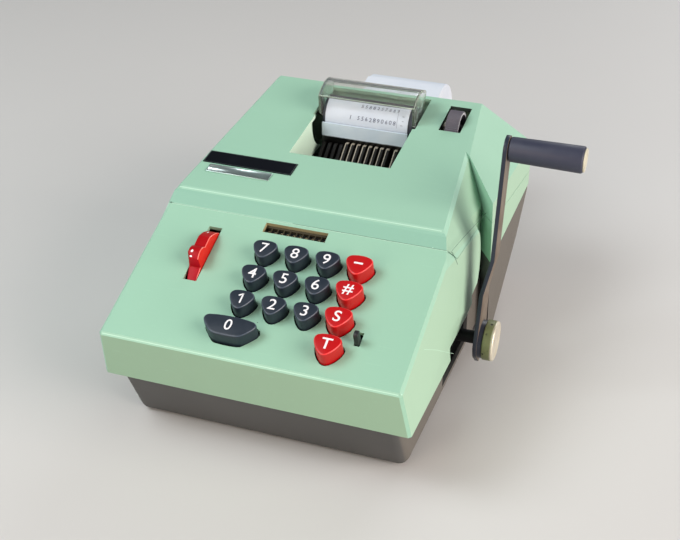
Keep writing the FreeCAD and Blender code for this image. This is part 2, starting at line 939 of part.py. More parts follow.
def window_bezel():
    width = window_cell_count * window_pitch
    outer = Part.makeBox(width + 2 * bezel_border, window_length + 2 * bezel_border, bezel_thickness,
                         Vector(window_x0 - bezel_border, window_front_t() - bezel_border,
                                -casing_wall - bezel_thickness))
    hole = Part.makeBox(width, window_length - bezel_border, 4 * bezel_thickness,
                        Vector(window_x0, window_front_t(), -casing_wall - 2 * bezel_thickness))
    frame = outer.cut(hole)
    for i in range(1, window_cell_count):
        corner = Vector(window_x0 + i * window_pitch - bezel_bar / 2, window_front_t() - bezel_border / 2,
                        -casing_wall - bezel_thickness / 2)
        bar = Part.makeBox(bezel_bar, window_length + bezel_border, bezel_thickness / 2, corner)
        frame = frame.fuse(bar)
    return on_keyboard(solid_of(frame.removeSplitter()))


number_axis_t = window_front_t() + window_length / 2
number_axis_h = -casing_wall - bezel_thickness - number_wheel_radius - number_wheel_gap
number_y, number_z = keyboard_point(number_axis_t, number_axis_h)


def number_wheel(index):
    x0 = window_x0 + index * window_pitch + number_wheel_gap / 2
    wheel = facet_rod_x(number_wheel_sides, number_wheel_radius, x0, x0 + window_pitch - number_wheel_gap,
                        number_y, number_z)
    bore_radius = over_flats(number_shaft_radius + running_clearance, number_bore_sides)
    bore = facet_rod_x(number_bore_sides, bore_radius, x0, x0 + window_pitch - number_wheel_gap,
                       number_y, number_z)
    return wheel.cut(bore)


def number_shaft():
    return rod_x(number_shaft_radius, -frame_x, frame_x, number_y, number_z)


def lever_outline():
    # thumb lever seen from the side, as distance along the slot and height
    front = lever_slot_front_t + lever_side_gap
    rear = lever_slot_front_t + lever_slot_length - lever_travel - lever_side_gap
    base = -plate_depth + lever_side_gap

    def before_rear(point):
        return Vector(0, rear - point[0], point[1])

    ramp = [Vector(0, rear, lever_edge_h)] + [before_rear(p) for p in lever_ramp]
    hump = [before_rear(p) for p in lever_hump]
    tongue = [before_rear(lever_tongue), Vector(0, front, lever_edge_h)]
    foot = [Vector(0, front, base), Vector(0, rear, base)]
    edges = [
        Part.Arc(*ramp).toShape(),
        Part.makeLine(ramp[-1], hump[0]),
        Part.Arc(*hump).toShape(),
        Part.makeLine(hump[-1], tongue[0]),
        Part.makeLine(tongue[0], tongue[1]),
        Part.makeLine(tongue[1], foot[0]),
        Part.makeLine(foot[0], foot[1]),
        Part.makeLine(foot[1], ramp[0]),
    ]
    return Part.Face(Part.Wire(edges))


def red_lever():
    face = lever_outline()
    face.translate(Vector(lever_slot_x() + lever_side_gap, 0, 0))
    return on_keyboard(face.extrude(Vector(lever_slot_width - 2 * lever_side_gap, 0, 0)))


def tab_lever():
    width = tab_slot_width - 2 * slot_clearance
    low = -plate_depth + slot_clearance
    blade = Part.makeBox(width, tab_length, tab_height - low,
                         Vector(tab_slot_x() + slot_clearance, tab_slot_front_t + slot_clearance, low))
    cross = [e for e in blade.Edges if e.BoundBox.XLength > width / 2]
    top = [e for e in cross if e.CenterOfMass.z > tab_height - tab_round]
    return on_keyboard(blade.makeFillet(tab_round, top))


def platen_roller():
    left = hood_left_x + hood_wall + platen_side_gap
    right = hood_right_x - hood_wall - platen_side_gap
    roller = rod_x(platen_radius, left, right, platen_y, platen_z)
    return roller.cut(rod_x(platen_shaft_radius, left, right, platen_y, platen_z))


def platen_shaft():
    half = frame_x + frame_thickness
    return rod_x(platen_shaft_radius, -half, half, platen_y, platen_z)


def thumbwheel():
    # ribbed wheel, dished on its right face
    right = thumb_left_x + thumb_width
    ring = []
    for i, (y, z) in enumerate(round_points(2 * thumb_rib_count, 1.0)):
        radius = thumb_radius - (thumb_rib_depth if i % 2 else 0)
        ring.append((platen_y + radius * y, platen_z + radius * z))
    wheel = prism_x(ring, thumb_left_x, right)
    dish_radius = thumb_radius - thumb_rim
    hub_size = platen_shaft_radius + thumb_hub_wall
    dish = facet_rod_x(thumb_rib_count, dish_radius, right - thumb_width / 2, right, platen_y, platen_z)
    hub = facet_rod_x(foot_sides, hub_size, thumb_left_x, right, platen_y, platen_z)
    bore = rod_x(platen_shaft_radius, thumb_left_x, right, platen_y, platen_z)
    return solid_of(wheel.cut(dish).fuse(hub).cut(bore).removeSplitter())


def platen_polar(radius, angle):
    a = math.radians(angle)
    return Vector(0, platen_y + radius * math.cos(a), platen_z + radius * math.sin(a))


def hood():
    # clear visor over the platen, with cheeks that turn on the platen shaft
    inner = hood_radius - hood_wall
    mean = (hood_front_angle + hood_rear_angle) / 2
    section = Part.Wire([
        Part.Arc(platen_polar(hood_radius, hood_rear_angle), platen_polar(hood_radius, mean),
                 platen_polar(hood_radius, hood_front_angle)).toShape(),
        Part.makeLine(platen_polar(hood_radius, hood_front_angle), platen_polar(inner, hood_front_angle)),
        Part.Arc(platen_polar(inner, hood_front_angle), platen_polar(inner, mean),
                 platen_polar(inner, hood_rear_angle)).toShape(),
        Part.makeLine(platen_polar(inner, hood_rear_angle), platen_polar(hood_radius, hood_rear_angle)),
    ])
    band = Part.Face(section)
    band.translate(Vector(hood_left_x, 0, 0))
    shape = band.extrude(Vector(hood_right_x - hood_left_x, 0, 0))
    front = platen_polar(hood_radius, hood_front_angle)
    rear = platen_polar(hood_radius, hood_rear_angle)
    lap = Vector(0, front.y + hood_cheek_lap, platen_z + hood_cheek_drop)
    for x0 in (hood_left_x, hood_right_x - hood_wall):
        cheek = Part.Wire([
            Part.Arc(rear, platen_polar(hood_radius, mean), front).toShape(),
            Part.makeLine(front, lap),
            Part.makeLine(lap, Vector(0, platen_y - hood_hub_radius, platen_z)),
            Part.Arc(Vector(0, platen_y - hood_hub_radius, platen_z),
                     Vector(0, platen_y, platen_z - hood_hub_radius),
                     Vector(0, platen_y + hood_hub_radius, platen_z)).toShape(),
            Part.makeLine(Vector(0, platen_y + hood_hub_radius, platen_z), rear),
        ])
        face = Part.Face(cheek)
        face.translate(Vector(x0, 0, 0))
        shape = shape.fuse(face.extrude(Vector(hood_wall, 0, 0)))
    bore = rod_x(platen_shaft_radius + running_clearance, hood_left_x, hood_right_x, platen_y, platen_z)
    return solid_of(shape.cut(bore).removeSplitter())


def thin_band(path, x0, width):
    # closed thin sheet from an inner and an outer run of edges in the YZ plane
    face = Part.Face(Part.Wire(path))
    face.translate(Vector(x0, 0, 0))
    return face.extrude(Vector(width, 0, 0))


def paper_strip():
    # from the roll, through the rear slot, under the platen and up its front
    edges = []
    inner = platen_radius + paper_gap
    outer = inner + paper_thickness
    reach = rear_y - opening_rear_inset - platen_y
    wrap_mid = (270 + paper_end_angle) / 2
    under_inner = Vector(0, platen_y, platen_z - inner)
    under_outer = Vector(0, platen_y, platen_z - outer)
    feed_y = platen_y + reach
    far_inner = Vector(0, feed_y, platen_z - inner)
    far_outer = Vector(0, feed_y, platen_z - outer)
    roll_gap = roll_radius + paper_gap
    top_inner = Vector(0, roll_y, roll_z + roll_gap)
    top_outer = Vector(0, roll_y, roll_z + roll_gap + paper_thickness)
    edges.append(Part.makeLine(top_outer, far_inner))
    edges.append(Part.makeLine(far_inner, under_inner))
    end_inner = platen_polar(inner, paper_end_angle)
    end_outer = platen_polar(outer, paper_end_angle)
    edges.append(Part.Arc(under_inner, platen_polar(inner, wrap_mid), end_inner).toShape())
    edges.append(Part.makeLine(end_inner, end_outer))
    edges.append(Part.Arc(end_outer, platen_polar(outer, wrap_mid), under_outer).toShape())
    edges.append(Part.makeLine(under_outer, far_outer))
    edges.append(Part.makeLine(far_outer, top_inner))
    edges.append(Part.makeLine(top_inner, top_outer))
    return thin_band(edges, paper_left_x, paper_width)


def paper_roll():
    roll = rod_x(roll_radius, paper_left_x, paper_left_x + paper_width, roll_y, roll_z)
    return roll.cut(core_form())


def core_form():
    return facet_rod_x(roll_core_sides, roll_core_radius, paper_left_x, paper_left_x + paper_width,
                       roll_y, roll_z)


def roll_core():
    bore = rod_x(spindle_radius + running_clearance, paper_left_x, paper_left_x + paper_width,
                 roll_y, roll_z)
    return core_form().cut(bore)


def bracket_span():
    left = paper_left_x - bracket_side_gap
    right = paper_left_x + paper_width + bracket_side_gap
    return left, right


def roll_spindle():
    left, right = bracket_span()
    body = rod_x(spindle_radius, paper_left_x, paper_left_x + paper_width, roll_y, roll_z)
    end = bracket_wall + spindle_end_length
    bar = facet_rod_x(spindle_end_sides, spindle_end_radius, left - end, right + end, roll_y, roll_z)
    return solid_of(body.fuse(bar).removeSplitter())


def roll_bracket():
    # bent sheet: a plate on the base's rear wall and two arms
    left, right = bracket_span()
    foot_z = lip_z - bracket_foot_drop
    head_z = lip_z - bracket_head_drop
    heel_y = base_rear_y + bracket_heel
    shape = box(left - bracket_wall, right + bracket_wall, base_rear_y, base_rear_y + bracket_wall,
                foot_z, head_z)
    arm_points = [
        (base_rear_y, foot_z),
        (heel_y, foot_z),
        (roll_y + bracket_eye, roll_z - bracket_eye / 2),
        (roll_y + bracket_eye, roll_z + bracket_eye / 2),
        (roll_y + bracket_eye / 2, roll_z + bracket_eye),
        (roll_y - bracket_eye / 2, roll_z + bracket_eye),
        (roll_y - bracket_eye, roll_z + bracket_eye / 2),
        (heel_y, head_z),
        (base_rear_y, head_z),
    ]
    for x0 in (left - bracket_wall, right):
        shape = shape.fuse(prism_x(arm_points, x0, x0 + bracket_wall))
    hole = facet_rod_x(spindle_end_sides, spindle_end_radius, left - 2 * bracket_wall,
                       right + 2 * bracket_wall, roll_y, roll_z)
    return solid_of(shape.cut(hole).removeSplitter())


def paper_guide():
    # pale upright strip in front of the platen, standing on the comb plate
    low = comb_z + comb_thickness
    top = platen_z - guide_top_drop
    blade = box(guide_left_x, guide_right_x, guide_y, guide_y + guide_thickness, low, top)
    foot = box(guide_left_x, guide_right_x, guide_y, comb_rear_y, low, low + guide_foot_height)
    return solid_of(blade.fuse(foot).removeSplitter())


def bar_x(index):
    extra = symbol_gap if index == bar_count - 1 else 0.0
    return bar_first_x + index * bar_pitch + extra


def type_bar(x0):
    foot_z = comb_z - bar_tail
    top_z = platen_z - bar_top_drop
    return prism_x([
        (bar_front_y, foot_z),
        (bar_rear_y, foot_z),
        (bar_rear_y, top_z - bar_nose),
        (bar_rear_y - bar_nose, top_z),
        (bar_front_y, top_z - bar_slope),
    ], x0, x0 + bar_thickness)


def type_bars():
    return Part.makeCompound([type_bar(bar_x(i)) for i in range(bar_count)])


def type_bar_comb():
    # slotted plate between the side frames that guides the bars
    half = frame_x + frame_thickness
    plate = box(-half, half, comb_front_y, comb_rear_y, comb_z, comb_z + comb_thickness)
    slots = []
    for i in range(bar_count):
        x0 = bar_x(i) - slot_clearance
        slots.append(box(x0, x0 + bar_thickness + 2 * slot_clearance, bar_front_y - slot_clearance,
                         bar_rear_y + slot_clearance, comb_z, comb_z + comb_thickness))
    shape = plate.cut(Part.makeCompound(slots))
    pin_end_z = comb_z + comb_thickness + spool_height
    for x in (-spool_x, spool_x):
        shape = shape.fuse(rod_z(spool_pin_radius, x, spool_y, comb_z, pin_end_z))
    return solid_of(shape.removeSplitter())


def ribbon_spool(x):
    z0 = comb_z + comb_thickness + spool_seat_gap
    z1 = z0 + spool_height
    winding = facet_rod_z(spool_sides, spool_radius - spool_winding, x, spool_y, z0, z1)
    low = facet_rod_z(spool_sides, spool_radius, x, spool_y, z0, z0 + spool_flange)
    high = facet_rod_z(spool_sides, spool_radius, x, spool_y, z1 - spool_flange, z1)
    bore_radius = over_flats(spool_pin_radius + running_clearance, spool_bore_sides)
    bore = facet_rod_z(spool_bore_sides, bore_radius, x, spool_y, z0, z1)
    return solid_of(winding.fuse([low, high]).cut(bore).removeSplitter())


def frame_outline():
    plate_under = -plate_depth - plate_thickness
    front_top = keyboard_point(frame_front_y / math.cos(alpha), plate_under)
    plate_end = keyboard_point(plate_rear_t(), plate_under)
    wheel_h = number_axis_h + number_wheel_radius - bezel_thickness
    head_front = keyboard_point(number_axis_t - frame_wheel_room, plate_under)
    wheel_head = keyboard_point(number_axis_t - frame_wheel_room, wheel_h)
    wheel_rear = keyboard_point(number_axis_t + frame_wheel_room, wheel_h)
    ear_z = platen_z + frame_ear_rise
    return [
        (front_top[0], frame_floor_z),
        (frame_rear_y, frame_floor_z),
        (frame_rear_y, platen_z - frame_ear_drop),
        (platen_y + frame_ear_half, ear_z),
        (platen_y - frame_ear_half, ear_z),
        (comb_rear_y + frame_comb_lap, comb_z),
        (wheel_rear[0] + frame_wheel_room, comb_z),
        wheel_rear,
        wheel_head,
        head_front,
        plate_end,
        front_top,
    ]


def frame_holes(x0, x1):
    # lightening holes, slanted at the front to follow the keyboard
    half = frame_hole_half
    low = frame_floor_z + frame_hole_low
    front_y = frame_front_y + frame_hole_front
    rear_y0 = frame_rear_y - frame_hole_rear
    front = [
        (front_y - half, low),
        (front_y + half, low),
        (front_y + half, low + 2 * half),
        (front_y - half, low + 2 * half - frame_hole_slant),
    ]
    rear = [
        (rear_y0 - half, low),
        (rear_y0 + half, low),
        (rear_y0 + half, low + 2 * half),
        (rear_y0 - half, low + 2 * half),
    ]
    return [prism_x(front, x0, x1), prism_x(rear, x0, x1)]


def side_frame(side):
    x0 = frame_x if side > 0 else -frame_x - frame_thickness
    x1 = x0 + frame_thickness
    tools = frame_holes(x0, x1)
    tools.append(rod_x(platen_shaft_radius + running_clearance, x0, x1, platen_y, platen_z))
    if side > 0:
        tools.append(facet_rod_x(bush_sides, bush_radius, x0, x1, crank_y, crank_z))
    else:
        tools.append(rod_x(crank_shaft_radius + running_clearance, x0, x1, crank_y, crank_z))
    return solid_of(prism_x(frame_outline(), x0, x1).cut(Part.makeCompound(tools)))


def tie_rods():
    # hexagonal spacers between the side frames
    low = frame_floor_z + rod_rise
    places = [
        (frame_front_y + rod_front_inset, low),
        (frame_rear_y - rod_rear_inset, low),
        (crank_y + rod_middle_back, comb_z - rod_middle_drop),
    ]
    rods = [facet_rod_x(rod_sides, rod_radius, -frame_x, frame_x, y, z) for y, z in places]
    return Part.makeCompound(rods)


def crank_shaft():
    end = arm_root_x + arm_thickness + boss_thickness + ring_gap + ring_thickness
    return rod_x(crank_shaft_radius, -frame_x - frame_thickness - crank_shaft_end, end, crank_y, crank_z)


def crank_bush():
    x0 = frame_x - (bush_length - frame_thickness) / 2
    ring = facet_rod_x(bush_sides, bush_radius, x0, x0 + bush_length, crank_y, crank_z)
    return ring.cut(rod_x(crank_shaft_radius + running_clearance, x0, x0 + bush_length, crank_y, crank_z))


def sector_point(radius, angle):
    a = math.radians(angle)
    return crank_y + radius * math.cos(a), crank_z + radius * math.sin(a)


def drive_sector():
    # toothed sector on the crank shaft that works the type bars
    x0 = frame_x - sector_inset
    x1 = x0 + sector_thickness
    hub_size = crank_shaft_radius + sector_hub_wall
    last = sector_first_angle + sector_tooth_count * sector_tooth_step
    points = [sector_point(hub_size, last), sector_point(hub_size, sector_first_angle - 90)]
    for i in range(sector_tooth_count):
        angle = sector_first_angle + i * sector_tooth_step
        points.append(sector_point(sector_radius - sector_tooth, angle))
        points.append(sector_point(sector_radius, angle + sector_tooth_step / 3))
        points.append(sector_point(sector_radius, angle + 2 * sector_tooth_step / 3))
    points.append(sector_point(sector_radius - sector_tooth, last))
    left = x0 - sector_hub_side
    right = x1 + sector_hub_side
    hub = facet_rod_x(foot_sides, hub_size, left, right, crank_y, crank_z)
    bore = rod_x(crank_shaft_radius, left, right, crank_y, crank_z)
    return solid_of(prism_x(points, x0, x1).fuse(hub).cut(bore).removeSplitter())


def lean_arm(shape):
    # from an upright arm at the crank shaft to its resting angle
    place = Placement(Vector(0, crank_y, crank_z), Rotation(Vector(1, 0, 0), -arm_lean))
    shape = shape.copy()
    shape.Placement = place.multiply(shape.Placement)
    return shape


def tapered_bar(r0, z0, r1, z1, x0, x1):
    # two discs joined by their outer tangents, in the YZ plane
    length = z1 - z0
    tilt = math.asin((r0 - r1) / length)
    side = math.cos(tilt)
    rise = math.sin(tilt)
    points = [(r0 * side, z0 + r0 * rise), (r1 * side, z1 + r1 * rise),
              (-r1 * side, z1 + r1 * rise), (-r0 * side, z0 + r0 * rise)]
    shape = prism_x(points, x0, x1)
    shape = shape.fuse(facet_rod_x(arm_sides, over_flats(r0, arm_sides), x0, x1, 0, z0))
    return shape.fuse(facet_rod_x(arm_sides, over_flats(r1, arm_sides), x0, x1, 0, z1))


def crank_arm():
    # flat bar with a set-off, cut to the arm's outline
    low = arm_root_x
    high = arm_root_x + arm_joggle
    x0 = low - arm_thickness
    x1 = high + 2 * arm_thickness
    outline = tapered_bar(hub_radius, 0, arm_waist_radius, arm_waist, x0, x1)
    outline = outline.fuse(tapered_bar(arm_waist_radius, arm_waist, arm_head_radius, arm_length, x0, x1))
    tip_root = math.sqrt(hub_radius ** 2 - hub_tip_half ** 2)
    tip = [(-hub_tip_half, -tip_root), (0, -hub_radius - hub_tip), (hub_tip_half, -tip_root), (0, 0)]
    outline = outline.fuse(prism_x(tip, x0, x1))
    half = 2 * hub_radius
    top = arm_length + half
    side = [
        (low, -half),
        (low, arm_joggle_start),
        (high, arm_joggle_end),
        (high, top),
        (high + arm_thickness, top),
        (high + arm_thickness, arm_joggle_end),
        (low + arm_thickness, arm_joggle_start),
        (low + arm_thickness, -half),
    ]
    strip = [Vector(x, -half, z) for x, z in side]
    band = Part.Face(Part.makePolygon(strip + strip[:1])).extrude(Vector(0, 2 * half, 0))
    boss_x = low + arm_thickness
    boss = facet_rod_x(hub_sides, boss_radius, boss_x, boss_x + boss_thickness, 0, 0)
    arm = outline.common(band).fuse(boss)
    arm = arm.cut(rod_x(crank_shaft_radius, x0, x1, 0, 0))
    arm = arm.cut(rod_x(grip_pin_radius, x0, x1, 0, arm_length))
    return lean_arm(solid_of(arm.removeSplitter()))


ring_x = arm_root_x + arm_thickness + boss_thickness + ring_gap


def crank_ring():
    ring = facet_rod_x(hub_sides, hub_radius, ring_x, ring_x + ring_thickness, crank_y, crank_z)
    return ring.cut(rod_x(crank_shaft_radius, ring_x, ring_x + ring_thickness, crank_y, crank_z))


def crank_cap():
    x0 = ring_x + ring_thickness
    x1 = x0 + cap_thickness
    profile = [(x0, hub_radius), (x1 - cap_chamfer, hub_radius), (x1, hub_radius - cap_chamfer)]
    return turned_x(hub_sides, profile, crank_y, crank_z)


grip_x = arm_root_x + arm_joggle + arm_thickness + grip_gap
lean = math.radians(arm_lean)
grip_y = crank_y + arm_length * math.sin(lean)
grip_z = crank_z + arm_length * math.cos(lean)


def crank_grip():
    end_x = grip_x + grip_length
    body = turned_x(grip_sides, [
        (grip_x, grip_inner_radius - grip_chamfer / 2),
        (grip_x + grip_chamfer / 2, grip_inner_radius),
        (end_x - grip_chamfer, grip_outer_radius),
        (end_x, grip_outer_radius - grip_chamfer),
    ], grip_y, grip_z)
    bore = rod_x(grip_pin_radius + running_clearance, grip_x, end_x, grip_y, grip_z)
    seat = facet_rod_x(grip_head_sides, grip_head_radius + slot_clearance,
                       end_x - grip_head_thickness - grip_gap, end_x, grip_y, grip_z)
    return solid_of(body.cut(bore).cut(seat))


def grip_pin():
    head_x = grip_x + grip_length - grip_head_thickness
    arm_face = arm_root_x + arm_joggle
    pin = rod_x(grip_pin_radius, arm_face, head_x, grip_y, grip_z)
    head = facet_rod_x(grip_head_sides, grip_head_radius, head_x, head_x + grip_head_thickness,
                       grip_y, grip_z)
    return solid_of(pin.fuse(head).removeSplitter())


def on_top(shape):
    # moves a piece drawn flat (X, distance behind the step, height) onto the top plane
    shape = shape.copy()
    tilt = Rotation(Vector(1, 0, 0), top_angle)
    shape.Placement = Placement(Vector(0, step_y, step_z), tilt).multiply(shape.Placement)
    return shape


def label_plate():
    return on_top(Part.makeBox(label_width, label_depth, label_thickness,
                               Vector(-half_width + label_edge_gap, label_setback, 0)))


def badge_strip():
    return on_top(Part.makeBox(badge_width, badge_depth, badge_thickness,
                               Vector(-half_width + badge_edge_gap, badge_setback, 0)))


# Middle of the outline: from the casing's low left rear corner to the grip's
# end, and from the front crease to the rear of the paper roll
left_end = -half_width - low_left_flare
origin_x = (left_end + grip_x + grip_length) / 2
origin_y = (roll_y + roll_radius) / 2


def export(name, shape):
    shape = shape.copy()
    shape.translate(Vector(-origin_x, -origin_y, 0))
    if not shape.isValid():
        print("not valid:", name)
    shape.exportStep("parts/%s.step" % name)


def main():
    os.makedirs("parts", exist_ok=True)
    shell = casing_shell()
    export("base_tub", base_tub())
    export("rubber_feet", rubber_feet())
    export("lower_casing", lower_casing(shell))
    export("top_cover", top_cover(shell))
    export("keyboard_plate", keyboard_plate())
    for name, column, row, kind in key_table():
        export(name, key(column, row, kind))
    export("window_bezel", window_bezel())
    export("number_shaft", number_shaft())
    for index in range(window_cell_count):
        export("number_wheel_%d" % (index + 1), number_wheel(index))
    export("red_lever", red_lever())
    export("tab_lever", tab_lever())
    export("platen_roller", platen_roller())
    export("platen_shaft", platen_shaft())
    export("thumbwheel", thumbwheel())
    export("hood", hood())
    export("paper_strip", paper_strip())
    export("paper_roll", paper_roll())
    export("roll_core", roll_core())
    export("roll_spindle", roll_spindle())
    export("roll_bracket", roll_bracket())
    export("paper_guide", paper_guide())
    export("type_bars", type_bars())
    export("type_bar_comb", type_bar_comb())
    export("ribbon_spool_left", ribbon_spool(-spool_x))
    export("ribbon_spool_right", ribbon_spool(spool_x))
    export("side_frame_left", side_frame(-1))
    export("side_frame_right", side_frame(1))
    export("tie_rods", tie_rods())
    export("crank_shaft", crank_shaft())
    export("crank_bush", crank_bush())
    export("drive_sector", drive_sector())
    export("crank_arm", crank_arm())
    export("crank_ring", crank_ring())
    export("crank_cap", crank_cap())
    export("crank_grip", crank_grip())
    export("grip_pin", grip_pin())
    export("label_plate", label_plate())
    export("badge_strip", badge_strip())


main()
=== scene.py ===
import json
import math
import random

import bmesh
import bpy
from mathutils import Matrix, Vector
from mathutils.bvhtree import BVHTree

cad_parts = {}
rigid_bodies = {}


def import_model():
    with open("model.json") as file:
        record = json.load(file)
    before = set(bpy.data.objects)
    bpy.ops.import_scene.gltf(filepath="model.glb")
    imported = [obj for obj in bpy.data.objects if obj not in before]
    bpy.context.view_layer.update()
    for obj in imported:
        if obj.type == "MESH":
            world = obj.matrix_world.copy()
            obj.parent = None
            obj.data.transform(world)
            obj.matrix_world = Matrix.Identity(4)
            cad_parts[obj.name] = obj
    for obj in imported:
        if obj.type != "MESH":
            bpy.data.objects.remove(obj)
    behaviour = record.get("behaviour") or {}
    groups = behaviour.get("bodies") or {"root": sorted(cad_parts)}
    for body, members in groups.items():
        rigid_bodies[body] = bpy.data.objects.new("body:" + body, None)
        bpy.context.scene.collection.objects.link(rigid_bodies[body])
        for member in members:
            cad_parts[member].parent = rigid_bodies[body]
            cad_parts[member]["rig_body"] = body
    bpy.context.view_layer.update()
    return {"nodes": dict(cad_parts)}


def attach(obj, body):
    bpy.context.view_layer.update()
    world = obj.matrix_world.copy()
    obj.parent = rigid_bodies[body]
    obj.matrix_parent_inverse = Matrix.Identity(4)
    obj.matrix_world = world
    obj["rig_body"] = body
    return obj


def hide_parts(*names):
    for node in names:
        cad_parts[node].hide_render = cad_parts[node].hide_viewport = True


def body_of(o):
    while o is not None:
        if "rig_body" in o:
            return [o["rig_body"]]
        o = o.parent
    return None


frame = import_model()
nodes = frame["nodes"]
dice = random.Random(7)
print("frame loaded:", len(nodes), "nodes")

mm = 0.001
# the frame's origin, from the keyboard's middle and the front crease
middle = {"right": 28.65, "back": 170.4963}
keyboard = {"angle": math.radians(18.36), "crease": 76.7, "pitch": 19.0, "firstColumn": -14.5,
            "firstRow": 16.5}
topSlope = math.radians(5.2)
platen = {"back": 228.9925, "up": 118.9895}
sideWall = {"lean": 0.099, "splay": 0.033}


def spot(x, y, z):
    # millimetres counted from the front crease, in the frame's metres
    return Vector(((x - middle["right"]) * mm, (y - middle["back"]) * mm, z * mm))


def keyboardPlace(x, t, h):
    # lays a flat piece on the sloping keyboard
    c, s = math.cos(keyboard["angle"]), math.sin(keyboard["angle"])
    place = spot(x, t * c - h * s, keyboard["crease"] + t * s + h * c)
    return Matrix.Translation(place) @ Matrix.Rotation(keyboard["angle"], 4, "X")


def roundPlace(x, back, up, radius, turn):
    # lays a flat piece on a roller along X, turn counted from the rear upwards
    a = math.radians(turn)
    place = spot(x, back + radius * math.cos(a), up + radius * math.sin(a))
    return Matrix.Translation(place) @ Matrix.Rotation(a - math.pi / 2, 4, "X")


def tone(red, green, blue):
    # screen colour 0 to 255 as the shader's linear values
    def one(v):
        v = v / 255
        return v / 12.92 if v <= 0.04045 else ((v + 0.055) / 1.055) ** 2.4
    return (one(red), one(green), one(blue), 1.0)


class Wire:
    # a socket that can be used in plain arithmetic
    def __init__(self, shop, socket):
        self.shop = shop
        self.socket = socket

    def calc(self, operation, *values):
        return self.shop.node("ShaderNodeMath", {"operation": operation}, dict(enumerate(values)))

    def __add__(self, other):
        return self.calc("ADD", self, other)

    def __radd__(self, other):
        return self.calc("ADD", other, self)

    def __sub__(self, other):
        return self.calc("SUBTRACT", self, other)

    def __rsub__(self, other):
        return self.calc("SUBTRACT", other, self)

    def __mul__(self, other):
        return self.calc("MULTIPLY", self, other)

    def __rmul__(self, other):
        return self.calc("MULTIPLY", other, self)


class Finish:
    # one material and its node tree
    def __init__(self, name, **fixed):
        self.material = bpy.data.materials.new(name)
        self.material.use_nodes = True
        self.tree = self.material.node_tree
        self.tree.nodes.clear()
        self.out = self.tree.nodes.new("ShaderNodeOutputMaterial")
        self.shader = self.tree.nodes.new("ShaderNodeBsdfPrincipled")
        self.tree.links.new(self.shader.outputs[0], self.out.inputs["Surface"])
        for socket, value in fixed.items():
            self.shader.inputs[socket.replace("_", " ")].default_value = value
        self.place = self.node("ShaderNodeTexCoord", {}, {}, "Object")

    def node(self, kind, settings, sockets, output=0):
        made = self.tree.nodes.new(kind)
        for key, value in settings.items():
            if key == "stops":
                ramp = made.color_ramp
                while len(ramp.elements) < len(value):
                    ramp.elements.new(0.5)
                for element, (position, colour) in zip(ramp.elements, value):
                    element.position = position
                    element.color = colour if hasattr(colour, "__len__") else (colour, colour, colour, 1)
            else:
                setattr(made, key, value)
        for key, value in sockets.items():
            if isinstance(value, Wire):
                self.tree.links.new(value.socket, made.inputs[key])
            else:
                made.inputs[key].default_value = value
        return Wire(self, made.outputs[output])

    def shifted(self, place, stretch=(1, 1, 1)):
        # the piece's own coordinates, counted from a place on it
        sockets = {0: self.place, 1: tuple(place)}
        moved = self.node("ShaderNodeVectorMath", {"operation": "SUBTRACT"}, sockets)
        return self.node("ShaderNodeMapping", {}, {"Vector": moved, "Scale": stretch})

    def speckle(self, scale, detail=4.0, rough=0.55, stretch=(1, 1, 1)):
        # noise from 0 to 1 on the piece's own coordinates, in bumps per metre
        spread = self.node("ShaderNodeMapping", {}, {"Vector": self.place, "Scale": stretch})
        return self.node("ShaderNodeTexNoise", {}, {"Vector": spread, "Scale": scale, "Detail": detail,
                                                    "Roughness": rough}, "Fac")

    def rings(self, place, spacing):
        # fine rings round an axis along X, as on a roll's ends or a turned face
        flat = self.shifted(place, (0, 1, 1))
        away = self.node("ShaderNodeVectorMath", {"operation": "LENGTH"}, {0: flat}, "Value")
        return self.node("ShaderNodeMath", {"operation": "SINE"}, {0: away * (math.tau / (spacing * mm))})

    def between(self, wire, low, high):
        # 0 below low, 1 above high
        return self.node("ShaderNodeMapRange", {"clamp": True, "interpolation_type": "SMOOTHSTEP"},
                         {"Value": wire, "From Min": low, "From Max": high})

    def blendColour(self, factor, first, second):
        return self.node("ShaderNodeMix", {"data_type": "RGBA"}, {0: factor, 6: first, 7: second}, 2)

    def feed(self, socket, wire):
        self.tree.links.new(wire.socket, self.shader.inputs[socket])

    def relief(self, height, strength, distance):
        sockets = {"Height": height, "Strength": strength, "Distance": distance}
        bump = self.node("ShaderNodeBump", {}, sockets)
        self.feed("Normal", bump)


def enamel(name, base, worn, grain=900, gloss=0.46, coat=0.04, dustShare=0.12, litFlank=None, front=None):
    # sprayed enamel: faint clouds of tone, dust and fine orange peel
    f = Finish(name, Coat_Weight=coat, Coat_Roughness=0.3, Specular_IOR_Level=0.3)
    clouds = f.between(f.speckle(9, 3), 0.3, 0.72)
    dust = f.between(f.speckle(240, 6, 0.7), 0.56, 0.78)
    scuff = f.between(f.speckle(60, 5, 0.6, (1, 14, 1)), 0.63, 0.70)
    colour = f.blendColour(clouds * 0.55, base, worn)
    if litFlank:
        # painted light: upright faces turned to the right are lighter and warmer, those turned to the front
        # warmer, as the lamps light them
        facing = f.node("ShaderNodeNewGeometry", {}, {}, "Normal")
        toRight = f.node("ShaderNodeSeparateXYZ", {}, {0: facing}, 0)
        toFront = 0 - f.node("ShaderNodeSeparateXYZ", {}, {0: facing}, 1)
        colour = f.blendColour(f.between(toRight, 0.75, 0.95), colour, litFlank)
        colour = f.blendColour(f.between(toFront, 0.75, 0.95), colour, front)
    pale = tuple(min(1, c * 1.25 + 0.03) for c in base[:3]) + (1,)
    f.feed("Base Color", f.blendColour(dust * dustShare + 0.10 * scuff, colour, pale))
    f.feed("Roughness", gloss + 0.10 * clouds + 0.14 * dust - 0.06 * scuff)
    f.relief(f.speckle(grain, 2), 0.05, 0.0002)
    return f


